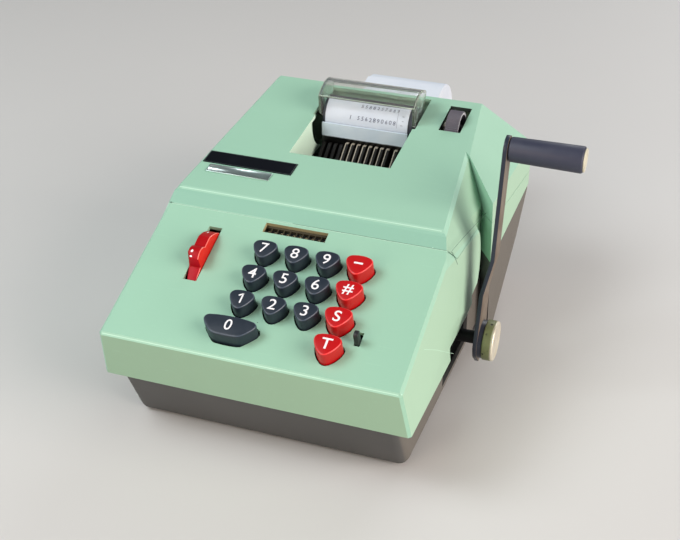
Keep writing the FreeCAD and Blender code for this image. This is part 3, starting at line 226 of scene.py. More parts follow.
def plastic(name, base, shade, gloss=0.34, grain=1600, strength=0.06, coat=0.0):
    # moulded plastic: satin skin, finger wear and a few hairline marks
    f = Finish(name, Coat_Weight=coat, Coat_Roughness=0.12)
    wear = f.between(f.speckle(110, 4), 0.4, 0.7)
    hair = f.between(f.speckle(260, 2, 0.5, (1, 9, 1)), 0.66, 0.70)
    f.feed("Base Color", f.blendColour(wear * 0.4, base, shade))
    f.feed("Roughness", gloss + 0.12 * wear + 0.12 * hair)
    f.relief(f.speckle(grain, 3), strength, 0.0001)
    return f


def metal(name, base, shade, gloss=0.35, brush=(1, 30, 1), scale=90, strength=0.05, metallic=1.0):
    # brushed or turned metal with stains
    f = Finish(name, Metallic=metallic)
    lines = f.speckle(scale, 5, 0.6, brush)
    stain = f.between(f.speckle(45, 4), 0.45, 0.75)
    f.feed("Base Color", f.blendColour(stain * 0.6, base, shade))
    f.feed("Roughness", gloss + 0.16 * lines + 0.14 * stain)
    f.relief(lines, strength, 0.0001)
    return f


# the tints for the right-facing and front-facing faces are painted light from the lamps at the right and in
# front
casingFinish = enamel("casingEnamel", tone(154, 198, 174), tone(147, 192, 169), litFlank=tone(166, 201, 175),
                      front=tone(154, 188, 160))
# painted shade: the nose step, in the same enamel, a darker tone as less light falls on it
noseShadeFinish = enamel("noseShadedEnamel", tone(141, 187, 166), tone(135, 181, 161))
# painted light: the opening's left wall, lit from the right, in a much paler tone
flangeLitFinish = enamel("flangeLitEnamel", tone(226, 255, 232), tone(216, 250, 224))
# painted highlight: a lighter tone for the narrow faces along the casing's arrises and for the seam's left
# half
edgeHighlightFinish = enamel("edgeHighlight", tone(161, 204, 181), tone(155, 199, 176))


def baseFinishMade():
    # grey wrinkle paint with slanting brush marks; the faces turned to the right get a lighter tan tone,
    # painted light from the right side
    f = Finish("baseGrey", Roughness=0.55, Specular_IOR_Level=0.3)
    clouds = f.between(f.speckle(12, 4), 0.3, 0.72)
    facing = f.node("ShaderNodeNewGeometry", {}, {}, "Normal")
    toRight = f.node("ShaderNodeSeparateXYZ", {}, {0: facing}, 0)
    side = f.between(toRight, 0.5, 0.8)
    slant = f.node("ShaderNodeMapping", {}, {"Vector": f.place, "Rotation": (0.7, 0, 0)})
    brush = {"Vector": slant, "Scale": 170.0, "Distortion": 3.0, "Detail": 3.0, "Detail Scale": 2.0}
    marks = f.node("ShaderNodeTexWave", {"bands_direction": "Y"}, brush, "Fac")
    front = f.blendColour(clouds * 0.6, tone(86, 86, 85), tone(76, 76, 75))
    # painted light: the lighter tan tone for the faces turned to the right
    litFlank = f.blendColour(f.between(marks, 0.3, 0.75), tone(98, 95, 89), tone(114, 110, 103))
    f.feed("Base Color", f.blendColour(side, front, litFlank))
    f.relief(f.speckle(2400, 2) + 0.4 * side * marks, 0.08, 0.0003)
    return f


baseFinish = baseFinishMade()
# painted highlight: pale rims round the holes in the casing
holeRimHighlightFinish = enamel("holeRimHighlight", tone(190, 228, 206), tone(180, 220, 198))
footFinish = plastic("footRubber", tone(28, 28, 28), tone(38, 37, 36), gloss=0.8)
keyFinish = plastic("keyCharcoal", tone(30, 40, 52), tone(38, 48, 60), gloss=0.38)
# painted highlight: a paler tone for the middle of the keys' rounded rims
keyRimHighlightFinish = plastic("keyRimHighlight", tone(66, 78, 92), tone(54, 66, 80), gloss=0.3)
redRimHighlightFinish = plastic("redRimHighlight", tone(226, 58, 58), tone(206, 34, 36), gloss=0.3)
redKeyFinish = plastic("keyRed", tone(184, 2, 8), tone(170, 4, 9), gloss=0.32)
leverFinish = plastic("leverRed", tone(164, 2, 12), tone(182, 8, 18), gloss=0.46)
# painted light: the lever's right flank, lit from the right, in a brighter orange red
leverLitFlankFinish = plastic("leverLitFlank", tone(214, 30, 20), tone(200, 22, 16), gloss=0.4)
# painted highlight: pale red for the lever's edges turned up and to the right
leverRimHighlightFinish = plastic("leverRimHighlight", tone(242, 120, 108), tone(228, 84, 74), gloss=0.3)
leverTongueFinish = plastic("leverTongue", tone(168, 0, 22), tone(182, 2, 26), gloss=0.5)
for redFinish in (leverFinish, leverTongueFinish, leverLitFlankFinish):
    redFinish.shader.inputs["Specular IOR Level"].default_value = 0.2  # keeps the lever's red deep
tabFinish = plastic("tabBlack", tone(22, 23, 27), tone(34, 35, 40), gloss=0.4)
steelFinish = metal("innerSteel", tone(120, 118, 112), tone(70, 64, 58), gloss=0.42)
darkSteelFinish = metal("darkSteel", tone(52, 52, 54), tone(26, 26, 26), gloss=0.5)
typeFinish = metal("typeSteel", tone(38, 37, 36), tone(20, 19, 18), gloss=0.5, metallic=0.6)
typeEdgeFinish = metal("typeEdge", tone(182, 174, 158), tone(140, 130, 112), gloss=0.34, metallic=0.4)
brassFinish = metal("windowBrass", tone(76, 70, 52), tone(50, 45, 32), gloss=0.5, metallic=0.4)
windowWallFinish = plastic("windowWall", tone(176, 166, 126), tone(150, 140, 104), gloss=0.5)
wheelFinish = plastic("digitWheel", tone(28, 28, 28), tone(42, 40, 36), gloss=0.5)
digitFinish = plastic("digitBrass", tone(156, 142, 106), tone(112, 98, 70), gloss=0.6)
platenFinish = plastic("platenRubber", tone(52, 58, 70), tone(40, 44, 54), gloss=0.5)
thumbFinish = plastic("thumbGrey", tone(88, 85, 95), tone(70, 68, 76), gloss=0.5)
thumbRimFinish = plastic("thumbRim", tone(190, 188, 196), tone(150, 148, 156), gloss=0.4)
coreFinish = plastic("coreBrown", tone(104, 98, 88), tone(84, 78, 70), gloss=0.5)
armFinish = enamel("armLacquer", tone(40, 46, 60), tone(52, 56, 66), grain=1500, gloss=0.28)
# painted light: the arm's right face, lit from the right, in a tan metal tone
armLitFaceFinish = metal("armLitFaceTan", tone(124, 112, 98), tone(92, 78, 66), gloss=0.45, brush=(1, 1, 14),
                      metallic=0.25)
capFinish = metal("capCream", tone(226, 220, 200), tone(196, 186, 160), gloss=0.26, metallic=0.45)
gripFinish = plastic("gripViolet", tone(50, 54, 72), tone(58, 61, 78), gloss=0.42)
gripEndFinish = plastic("gripEndCream", tone(206, 202, 180), tone(176, 172, 150), gloss=0.32)
labelFinish = metal("labelDark", tone(32, 36, 46), tone(48, 50, 60), gloss=0.36)
labelLineFinish = metal("labelLine", tone(150, 160, 158), tone(110, 118, 118), gloss=0.3)
badgeFinish = metal("badgeBright", tone(206, 222, 218), tone(150, 164, 162), gloss=0.24)
# painted highlight: pale lines along the visor's edges
visorRimHighlightFinish = plastic("visorRimHighlight", tone(168, 182, 166), tone(140, 152, 138), gloss=0.2)
printFinish = plastic("legendWhite", tone(238, 238, 240), tone(224, 226, 230), gloss=0.5)
inkFinish = plastic("printInk", tone(96, 104, 126), tone(160, 168, 184), gloss=0.7)
shadeFinish = plastic("shadedWall", tone(34, 46, 40), tone(26, 34, 30), gloss=0.7)
seamShadeFinish = plastic("seamShade", tone(92, 124, 106), tone(74, 100, 86), gloss=0.6)
# painted highlight: pale lines along the creases, the seam and the side; the light chips use this tone too
highlightAndChipFinish = plastic("seamHighlightAndChip", tone(190, 228, 206), tone(180, 218, 196), gloss=0.4)


def paperFinishMade(name, ringPlace=None):
    f = Finish(name)
    fibre = f.speckle(900, 5, 0.65)
    tint = f.between(f.speckle(30, 3), 0.35, 0.7)
    colour = f.blendColour(tint * 0.5, tone(214, 222, 232), tone(196, 207, 222))
    if ringPlace is None:
        f.relief(fibre, 0.06, 0.0001)
    else:
        layers = f.rings(ringPlace, 0.5)
        colour = f.blendColour(f.between(layers, 0.2, 0.9) * 0.30, colour, tone(186, 190, 196))
        f.relief(fibre + 0.6 * layers, 0.08, 0.0001)
    f.feed("Base Color", colour)
    f.feed("Roughness", 0.72 + 0.15 * fibre)
    return f


def clearFinishMade():
    f = Finish("visorClear", Transmission_Weight=0.96, IOR=1.3)
    scratch = f.between(f.speckle(90, 6, 0.6, (1, 16, 16)), 0.55, 0.72)
    f.feed("Base Color", f.blendColour(scratch, tone(240, 242, 238), tone(214, 220, 212)))
    f.feed("Roughness", 0.03 + 0.2 * scratch)
    return f


def oliveFinishMade():
    # olive moulding with a few dark pits
    f = Finish("ringOlive")
    cells = f.node("ShaderNodeTexVoronoi", {}, {"Vector": f.place, "Scale": 330}, "Distance")
    chosen = f.between(f.speckle(170, 2), 0.52, 0.58)
    pit = (1 - f.between(cells, 0.22, 0.34)) * chosen
    wear = f.between(f.speckle(110, 4), 0.4, 0.7)
    body = f.blendColour(wear * 0.5, tone(116, 124, 84), tone(92, 98, 66))
    f.feed("Base Color", f.blendColour(pit, body, tone(40, 40, 26)))
    f.feed("Roughness", 0.42 + 0.2 * pit)
    f.relief(1 - pit, 0.5, 0.0003)
    return f


def guideFinishMade(edge):
    # milky sheet, painted black shade below the printing line
    f = Finish("guideMilk", Roughness=0.28)
    height = f.node("ShaderNodeSeparateXYZ", {}, {0: f.place}, 2)
    outOfShade = f.between(height + 0.0006 * f.speckle(300, 2), (edge - 0.3) * mm, (edge + 0.6) * mm)
    milk = f.blendColour(f.speckle(60, 3), tone(192, 212, 228), tone(222, 234, 242))
    f.feed("Base Color", f.blendColour(outOfShade, tone(8, 8, 8), milk))
    return f


rollPlace = {"x": -30.0, "width": 57.0, "back": 310.9925, "up": 81.0, "radius": 29.99, "core": 8.0,
             "soft": 1.2}
paperFinish = paperFinishMade("paperWhite")
rollFinish = paperFinishMade("paperRoll", spot(rollPlace["x"], rollPlace["back"], rollPlace["up"]))
clearFinish = clearFinishMade()
guideFinish = guideFinishMade(108.9)
ringFinish = oliveFinishMade()

dressing = {
    "base_tub": baseFinish, "rubber_feet": footFinish, "lower_casing": casingFinish,
    "top_cover": casingFinish, "window_bezel": brassFinish, "red_lever": leverFinish,
    "tab_lever": tabFinish, "platen_roller": platenFinish, "thumbwheel": thumbFinish, "hood": clearFinish,
    "paper_strip": paperFinish, "paper_roll": rollFinish, "roll_core": coreFinish,
    "paper_guide": guideFinish, "type_bars": typeFinish, "crank_bush": brassFinish, "crank_arm": armFinish,
    "crank_ring": ringFinish, "crank_cap": capFinish, "crank_grip": gripFinish, "grip_pin": capFinish,
    "label_plate": labelFinish, "badge_strip": badgeFinish,
}
for name in ("number_shaft", "platen_shaft", "roll_spindle", "roll_bracket", "tie_rods"):
    dressing[name] = steelFinish
redKeys = ("key_total", "key_subtotal", "key_number", "key_minus")
for name in nodes:
    finish = dressing.get(name, darkSteelFinish)  # plates, side frames and the works inside are dark; on the crank shaft and the works deep inside, the dark steel partly stands in for shade
    if name.startswith("key_"):
        finish = redKeyFinish if name in redKeys else keyFinish
    if name.startswith("number_wheel"):
        finish = wheelFinish
    nodes[name].data.materials.clear()
    nodes[name].data.materials.append(finish.material)

print("finishes given:", len(bpy.data.materials))


def cadCopy(name):
    # merged copy of a CAD node, its flat faces joined again
    b = bmesh.new()
    b.from_mesh(nodes[name].data)
    bmesh.ops.remove_doubles(b, verts=b.verts, dist=0.003 * mm)
    bmesh.ops.dissolve_limit(b, angle_limit=math.radians(0.6), verts=b.verts, edges=b.edges)
    return b


def sharpEdges(b, limit=30, shortest=0.0):
    wide = math.radians(limit)
    sharp = [e for e in b.edges if e.is_manifold and e.calc_face_angle() > wide]
    return [e for e in sharp if e.calc_length() > shortest * mm]


def eased(b, edges, width, segments=3, slot=-1):
    # rounds the given edges, the new faces in a material slot of their own if one is given
    return bmesh.ops.bevel(b, geom=edges, offset=width * mm, offset_type="OFFSET", segments=segments,
                           profile=0.5, affect="EDGES", clamp_overlap=True, material=slot)


def climb(edge):
    return abs(edge.verts[0].co.z - edge.verts[1].co.z)


def addBox(b, place, wide, deep, tall):
    # box in millimetres, centred on its place
    size = Matrix.Diagonal((wide * mm, deep * mm, tall * mm, 1))
    return bmesh.ops.create_cube(b, size=1.0, matrix=place @ size)


def addDot(b, place, wide, deep, tall, around=16):
    # flat round drop in millimetres
    size = Matrix.Diagonal((wide * mm, deep * mm, tall * mm, 1))
    bmesh.ops.create_uvsphere(b, u_segments=around, v_segments=8, radius=0.5, matrix=place @ size)


def finished(b, name, finishes, body, replaced=(), sharp=32):
    # turns a bmesh into a piece that rides on its body
    mesh = bpy.data.meshes.new(name)
    b.to_mesh(mesh)
    b.free()
    piece = bpy.data.objects.new(name, mesh)
    bpy.context.scene.collection.objects.link(piece)
    for finish in finishes if isinstance(finishes, (list, tuple)) else [finishes]:
        mesh.materials.append(finish.material)
    for face in mesh.polygons:
        face.use_smooth = sharp > 0
    if sharp > 0:
        mesh.set_sharp_from_angle(angle=math.radians(sharp))
    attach(piece, body)
    if replaced:
        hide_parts(*replaced)
        keySlot = "key_red" if replaced[0] in redKeys else "key_black"
    return piece


def thickened(b, step):
    # closes a flat sheet into a thin solid, its second skin moved by step(place)
    grown = bmesh.ops.extrude_face_region(b, geom=b.faces[:])
    for v in grown["geom"]:
        if isinstance(v, bmesh.types.BMVert):
            v.co += step(v.co)
    bmesh.ops.recalc_face_normals(b, faces=b.faces)


def bodyOf(name):
    return body_of(nodes[name])[0]


def painted(b, slot, chosen):
    # gives another finish to the faces that the test picks, by their middle in millimetres from the crease
    for face in b.faces:
        at = face.calc_center_median() / mm
        if chosen(at.x + middle["right"], at.y + middle["back"], at.z, face.normal):
            face.material_index = slot


def addMesh(b, mesh, place):
    mesh.transform(place)
    b.from_mesh(mesh)
    bpy.data.meshes.remove(mesh)


def writtenMesh(text, height, depth=0.02, bold=0.0, slant=0.0, fine=6):
    # flat text as a mesh, centred on its own origin, in metres
    curve = bpy.data.curves.new("words", "FONT")
    curve.body = text
    curve.size = height / 0.7 * mm
    curve.align_x = "CENTER"
    curve.align_y = "CENTER"
    curve.extrude = depth * mm
    curve.offset = bold * mm
    curve.shear = slant
    curve.resolution_u = fine
    holder = bpy.data.objects.new("words", curve)
    bpy.context.scene.collection.objects.link(holder)
    bpy.context.view_layer.update()
    mesh = bpy.data.meshes.new_from_object(holder.evaluated_get(bpy.context.evaluated_depsgraph_get()))
    bpy.data.objects.remove(holder)
    low = [min(v.co[i] for v in mesh.vertices) for i in range(2)]
    high = [max(v.co[i] for v in mesh.vertices) for i in range(2)]
    mesh.transform(Matrix.Translation((-(low[0] + high[0]) / 2, -(low[1] + high[1]) / 2, 0)))
    return mesh


def strokeMesh(runs, width, depth=0.02):
    # a sign made of straight strokes, each run a pair of points in millimetres
    b = bmesh.new()
    for (x0, y0), (x1, y1) in runs:
        along = Vector((x1 - x0, y1 - y0, 0))
        turn = math.atan2(along.y, along.x)
        centre = ((x0 + x1) / 2 * mm, (y0 + y1) / 2 * mm, 0)
        place = Matrix.Translation(centre) @ Matrix.Rotation(turn, 4, "Z")
        made = addBox(b, place, along.length + width * 0.6, width, 2 * depth)
        ends = [e for v in made["verts"] for e in v.link_edges if climb(e) > depth * mm]
        eased(b, list(dict.fromkeys(ends)), width * 0.3)
    mesh = bpy.data.meshes.new("strokes")
    b.to_mesh(mesh)
    b.free()
    return mesh


# casing: both shells with softened edges; the narrow faces along their arrises a shade lighter and the rims
# round the holes pale, both painted highlights
shellForm = {"round": 0.9, "segments": 3, "crease": 20, "longest": 12.0, "strip": 3.4, "upright": 0.15,
             "flat": 0.9995, "rim": 0.28, "rimCrease": 80}
slopes = [Vector((0, -math.sin(a), math.cos(a))) for a in (keyboard["angle"], topSlope)]
zones = {
    # x from and to, y from and to, lowest z, in millimetres from the crease
    "flange": ((-37, -34.5), (160, 256), 0),
    "wheelWindow": ((47, 64), (214, 250), 112),
    "nose": ((-100, 100), (97, 109), 0),
    "numberWindow": ((-25, 17), (86, 96), 100),
}


def inZone(title, x, y, z):
    (left, right), (front, rear), low = zones[title]
    return left < x < right and front < y < rear and z > low


def onSlope(face):
    # whether a face lies in the keyboard's plane or the top's
    return max(face.normal.dot(slope) for slope in slopes) > shellForm["flat"]


def narrow(face):
    span = max(e.calc_length() for e in face.edges)
    thin = face.calc_area() / span < shellForm["strip"] * mm
    return face.normal.z > shellForm["upright"] and span > shellForm["longest"] * mm and thin


def shellMade(name, title, extra):
    b = cadCopy(name)
    for face in b.faces:
        # narrow faces along the arrises get the edge finish, a painted highlight
        if narrow(face) and not onSlope(face):
            face.material_index = 1
    for slot, (finish, chosen) in enumerate(extra, start=3):
        painted(b, slot, chosen)
    long = [e for e in sharpEdges(b, shellForm["crease"], shellForm["longest"]) if e.is_convex]
    eased(b, long, shellForm["round"], shellForm["segments"])
    rims = []
    for e in sharpEdges(b, shellForm["rimCrease"]):
        if e.is_convex and len([f for f in e.link_faces if onSlope(f)]) == 1:
            rims.append(e)
    # the eased rims round the holes get the hole rim finish, a painted highlight
    eased(b, rims, shellForm["rim"], 1, slot=2)
    finishes = [casingFinish, edgeHighlightFinish, holeRimHighlightFinish] + [finish for finish, chosen in extra]
    finished(b, title, finishes, bodyOf(name), [name], sharp=9)


shellMade("top_cover", "topShell", [
    # painted light and shade: the flange paler as lit from the right, the wheel window's walls dark shade,
    # the nose step a darker shade
    (flangeLitFinish, lambda x, y, z, n: n.x > 0.6 and inZone("flange", x, y, z)),
    (shadeFinish, lambda x, y, z, n: abs(n.z) < 0.5 and inZone("wheelWindow", x, y, z)),
    (noseShadeFinish, lambda x, y, z, n: n.y < -0.35 and n.z > 0.8 and inZone("nose", x, y, z)),
])
shellMade("lower_casing", "lowerShell", [
    (windowWallFinish, lambda x, y, z, n: abs(n.z) < 0.6 and inZone("numberWindow", x, y, z)),
])
print("shells made")


# keys: bulging round-cornered picks with a soft rim painted as a highlight, and a stem
keyForm = {"skirt": 1.0, "rim": 0.95, "stemWidth": 5.0, "stemThickness": 2.0, "stemDepth": 22.0,
           "stemEdge": 0.25}
keyKinds = {
    # corners as x, y and radius, sides as the radius of the arc that follows each corner
    "black": {"size": (14.4, 13.2), "height": 8.5, "sides": [15, 15, 15],
              "corners": [(-3.8, 2.5, 3.4), (0, -3.2, 3.4), (3.8, 2.5, 3.4)]},
    "red": {"size": (15.7, 14.2), "height": 9.4, "sides": [15, 15, 15],
            "corners": [(-4.45, 3.0, 3.4), (0, -3.7, 3.4), (4.45, 3.0, 3.4)]},
    "zero": {"size": (31.0, 13.4), "height": 8.5, "sides": [24, 60, 24, 60],
             "corners": [(-11.9, 3.1, 3.6), (-5.6, -0.4, 6.3), (5.6, -0.4, 6.3), (11.9, 3.1, 3.6)]},
}


def bulgingFace(b, corners, sides):
    # flat face: arcs of the corners' own radii, with wide arcs between them that touch both
    runs = []
    for here, there, side in zip(corners, corners[1:] + corners[:1], sides):
        first, second = Vector((here[0], here[1], 0)), Vector((there[0], there[1], 0))
        reach, far = side - here[2], side - there[2]
        along = second - first
        lean = math.acos((along.length_squared + reach ** 2 - far ** 2) / (2 * along.length * reach))
        heart = first + Matrix.Rotation(lean, 3, "Z") @ along.normalized() * reach
        start, end = (first - heart).normalized(), (second - heart).normalized()
        half = start.angle(end) / 2
        meet = heart + (start + end).normalized() * side / math.cos(half)
        runs.append({"start": start, "end": end, "meet": meet, "reach": side * math.tan(half)})
    marks = []
    for here, before, after in zip(corners, runs[-1:] + runs[:-1], runs):
        half = before["end"].angle(after["start"]) / 2
        aim = (before["end"] + after["start"]).normalized()
        tip = Vector((here[0], here[1], 0)) + aim * here[2] / math.cos(half)
        marks.append((tip * mm, here[2] * math.tan(half) * mm, 8))
        marks.append((after["meet"] * mm, after["reach"] * mm, 6))
    b.faces.new([b.verts.new(place) for place, reach, steps in marks])
    for place, reach, steps in marks:
        v = min(b.verts, key=lambda other: (other.co - place).length)
        bmesh.ops.bevel(b, geom=[v], offset=reach * 0.995, offset_type="OFFSET", segments=steps,
                        profile=0.5, affect="VERTICES", clamp_overlap=False, material=-1)
    bmesh.ops.remove_doubles(b, verts=b.verts, dist=0.06 * mm)


def fitted(b, width, depth):
    # scales a flat outline to its full size, centred
    for axis, size in ((0, width * mm), (1, depth * mm)):
        low = min(v.co[axis] for v in b.verts)
        high = max(v.co[axis] for v in b.verts)
        for v in b.verts:
            v.co[axis] = (v.co[axis] - (low + high) / 2) * size / (high - low)


def keySpot(name):
    if name == "key_0":
        return 0, 0
    if name in redKeys:
        return 3, redKeys.index(name)
    digit = int(name[-1])
    return (digit - 1) % 3, 1 + (digit - 1) // 3


def keyMade(name):
    column, row = keySpot(name)
    kind = keyKinds["red" if column == 3 else "zero" if name == "key_0" else "black"]
    b = bmesh.new()
    bulgingFace(b, kind["corners"], kind["sides"])
    fitted(b, *kind["size"])
    bmesh.ops.translate(b, verts=b.verts, vec=(0, 0, -keyForm["skirt"] * mm))
    grown = bmesh.ops.extrude_face_region(b, geom=b.faces[:])
    raised = [g for g in grown["geom"] if isinstance(g, bmesh.types.BMVert)]
    bmesh.ops.translate(b, verts=raised, vec=(0, 0, (kind["height"] + keyForm["skirt"]) * mm))
    rimEdges = [e for e in b.edges if all(v.co.z > (kind["height"] - 0.1) * mm for v in e.verts)]
    eased(b, rimEdges, keyForm["rim"], 4)
    for face in b.faces:
        # the sloping middle of the rim gets the rim finish, a painted highlight
        face.material_index = 1 if 0.55 < face.normal.z < 0.85 else 0
    depth = keyForm["stemDepth"]
    place = Matrix.Translation((0, 0, -depth / 2 * mm))
    made = addBox(b, place, keyForm["stemWidth"], keyForm["stemThickness"], depth)
    stemEdges = list(dict.fromkeys(e for v in made["verts"] for e in v.link_edges))
    eased(b, stemEdges, keyForm["stemEdge"], 2)
    bmesh.ops.recalc_face_normals(b, faces=b.faces)
    x = keyboard["firstColumn"] + column * keyboard["pitch"]
    t = keyboard["firstRow"] + row * keyboard["pitch"]
    bmesh.ops.transform(b, matrix=keyboardPlace(x, t, 0), verts=b.verts)
    finish = [redKeyFinish, redRimHighlightFinish] if column == 3 else [keyFinish, keyRimHighlightFinish]
    finished(b, name.replace("key_", "keycap_"), finish, bodyOf(name), [name], sharp=50)


legend = {"height": 7.1, "bold": 0.04, "redBold": 0.11, "up": 0.5, "zeroWidth": 0.92}
legendTable = {"key_0": "0", "key_number": "#", "key_subtotal": "S", "key_total": "T"}
for digit in range(2, 10):
    legendTable["key_%d" % digit] = str(digit)
strokeTable = {
    "key_1": ([((0.55, -3.1), (0.55, 3.15)), ((0.55, 3.15), (-1.45, 1.75))], 0.92),
    "key_minus": ([((-2.3, 0.5), (2.3, 0.5))], 1.25),
}


def legendMade(name):
    column, row = keySpot(name)
    red = column == 3
    if name in strokeTable:
        mesh = strokeMesh(*strokeTable[name])
    else:
        mesh = writtenMesh(legendTable[name], legend["height"], bold=legend["redBold" if red else "bold"])
    if name == "key_0":
        mesh.transform(Matrix.Diagonal((legend["zeroWidth"], 1.0, 1.0, 1.0)))
    x = keyboard["firstColumn"] + column * keyboard["pitch"]
    t = keyboard["firstRow"] + row * keyboard["pitch"] + legend["up"]
    h = keyKinds["red" if red else "black"]["height"]
    b = bmesh.new()
    addMesh(b, mesh, keyboardPlace(x, t, h))
    finished(b, "legend_" + name[4:], printFinish, bodyOf(name), sharp=0)


for name in sorted(n for n in nodes if n.startswith("key_")):
    keyMade(name)
    legendMade(name)
print("keys and legends made")


# number wheels: a figure on each of the ten flats, noughts at the window
wheelForm = {"radius": 6.6, "flats": 10, "first": -23.7, "pitch": 3.9, "figure": 2.9, "shown": 108}
wheelAxis = {"t": 95.9, "h": -11.1}
wheelHub = keyboardPlace(0, wheelAxis["t"], wheelAxis["h"]).translation


def figuresMade(index):
    b = bmesh.new()
    x = wheelForm["first"] + (index + 0.5) * wheelForm["pitch"]
    flat = wheelForm["radius"] * math.cos(math.pi / wheelForm["flats"]) + 0.02
    for step in range(wheelForm["flats"]):
        mesh = writtenMesh(str(step), wheelForm["figure"], 0.01, 0.05, fine=2)
        a = math.radians(wheelForm["shown"] - 360 / wheelForm["flats"] * step)
        y = wheelHub.y + flat * mm * math.cos(a)
        z = wheelHub.z + flat * mm * math.sin(a)
        place = Matrix.Translation((spot(x, 0, 0).x, y, z))
        addMesh(b, mesh, place @ Matrix.Rotation(a - math.pi / 2, 4, "X"))
    name = "number_wheel_%d" % (index + 1)
    finished(b, "figures_%d" % (index + 1), digitFinish, bodyOf(name), sharp=0)


for index in range(wheelForm["flats"]):
    figuresMade(index)
print("number wheels lettered")


# levers: the moulded thumb lever and the small black tab
leverForm = {"edge": 0.5, "tabEdge": 0.35, "tabRise": 3.6, "tabFoot": 0.5, "tongueEnd": 55.0,
             "tongueLeft": -52, "tongueGap": 1.7}
# painted highlights: white spots where lamp light glints on the lever's hump, as x, distance along the
# keyboard, width and length
leverHighlightSpots = [(-53.6, 60.4, 1.5, 1.9), (-53.4, 57.4, 1.6, 1.1), (-53.4, 81.2, 1.3, 1.7)]
upward = keyboardPlace(0, 0, 0).to_3x3() @ Vector((0, 0, 1))


def onTongue(place):
    # in front of the lever's step
    return (place.y / mm + middle["back"]) / math.cos(keyboard["angle"]) < leverForm["tongueEnd"]


def thumbLeverMade():
    b = cadCopy("red_lever")
    for v in b.verts:
        if onTongue(v.co) and v.co.x / mm + middle["right"] < leverForm["tongueLeft"]:
            v.co.x += leverForm["tongueGap"] * mm
    eased(b, sharpEdges(b, 60), leverForm["edge"])
    for face in b.faces:
        # right flank painted lighter as lit from the right, the edges turned up and right painted as
        # highlights
        if face.normal.x > 0.85:
            face.material_index = 1
        elif face.normal.x > 0.25 and face.normal.dot(upward) > 0.4:
            face.material_index = 2
        elif onTongue(face.calc_center_median()):
            face.material_index = 3
    skin = BVHTree.FromBMesh(b)
    marks = bmesh.new()
    # white dots on the hump are painted highlights
    for x, t, wide, tall in leverHighlightSpots:
        hit, facing, index, away = skin.ray_cast(keyboardPlace(x, t, 40).translation, -upward)
        place = Matrix.Translation(hit) @ facing.to_track_quat("Z", "Y").to_matrix().to_4x4()
        addDot(marks, place, wide, tall, 0.12)
    finished(marks, "leverHighlightDots", printFinish, bodyOf("red_lever"))
    finishes = [leverFinish, leverLitFlankFinish, leverRimHighlightFinish, leverTongueFinish]
    finished(b, "thumbLever", finishes, bodyOf("red_lever"), ["red_lever"], sharp=40)


def tabLeverMade():
    b = cadCopy("tab_lever")
    foot = keyboardPlace(0, 0, leverForm["tabFoot"]).translation
    raised = [v for v in b.verts if (v.co - foot).dot(upward) > 0]
    bmesh.ops.translate(b, verts=raised, vec=upward * leverForm["tabRise"] * mm)
    eased(b, sharpEdges(b, 60), leverForm["tabEdge"], 2)
    finished(b, "tabLever", tabFinish, bodyOf("tab_lever"), ["tab_lever"], sharp=40)


thumbLeverMade()
tabLeverMade()
print("levers made")


# crank: arm with its right face painted tan as lit from the right, turned cap, pitted ring, smooth grip
# with a cream end
crankForm = {"axis": (119.0, 37.0), "armEdge": 0.45, "hub": 12.5, "bore": 4.0, "ringEdge": 0.5,
             "ringX": 107.9, "ringWidth": 5.0}
gripForm = {"x": 109.3, "axis": (140.915, 156.4056), "length": 44.0, "bore": 2.55, "head": 2.7}
b = cadCopy("crank_arm")
eased(b, sharpEdges(b, 50, 0.3), crankForm["armEdge"], 2)
for face in b.faces:
    # faces turned to the right get the tan finish, painted light
    face.material_index = 1 if face.normal.x > 0.6 else 0
finished(b, "crankArm", [armFinish, armLitFaceFinish], bodyOf("crank_arm"), ["crank_arm"], sharp=35)


def lathe(profile, back, up, steps=72):
    # turned piece round an axis along X, from (x, radius) pairs in millimetres
    b = bmesh.new()
    verts = [b.verts.new(spot(x, back + radius, up)) for x, radius in profile]
    edges = [b.edges.new(pair) for pair in zip(verts, verts[1:])]
    bmesh.ops.spin(b, geom=verts + edges, cent=spot(0, back, up), axis=(1, 0, 0), dvec=(0, 0, 0),
                   angle=math.tau, steps=steps, use_merge=True)
    bmesh.ops.remove_doubles(b, verts=b.verts, dist=0.002 * mm)
    bmesh.ops.recalc_face_normals(b, faces=b.faces)
    return b


def corner(x, radius, size, first, last, count=5):
    # quarter of a circle for a turned piece's edge, from angle first to last in degrees
    points = []
    for i in range(count + 1):
        a = math.radians(first + (last - first) * i / count)
        points.append((x + size * math.cos(a), radius + size * math.sin(a)))
    return points


def ringAndCapMade():
    hub, bore, edge = crankForm["hub"], crankForm["bore"], crankForm["ringEdge"]
    x = crankForm["ringX"]
    capX = x + crankForm["ringWidth"]
    profile = [(x, bore)] + corner(x + edge, hub - edge, edge, 180, 90)
    profile += corner(capX - edge, hub - edge, edge, 90, 0) + [(capX, bore), (x, bore)]
    b = lathe(profile, *crankForm["axis"])
    finished(b, "crankRing", ringFinish, bodyOf("crank_ring"), ["crank_ring"])
    profile = [(capX, 0), (capX, hub - 0.2), (capX + 0.3, hub - 0.1)]
    profile += corner(capX + 0.6, hub - 1.2, 1.2, 90, 0, 6)
    profile += [(capX + 1.8, hub - 2.6), (capX + 1.62, hub - 3.0), (capX + 1.55, 0)]
    b = lathe(profile, *crankForm["axis"])
    finished(b, "crankCap", capFinish, bodyOf("crank_cap"), ["crank_cap"])


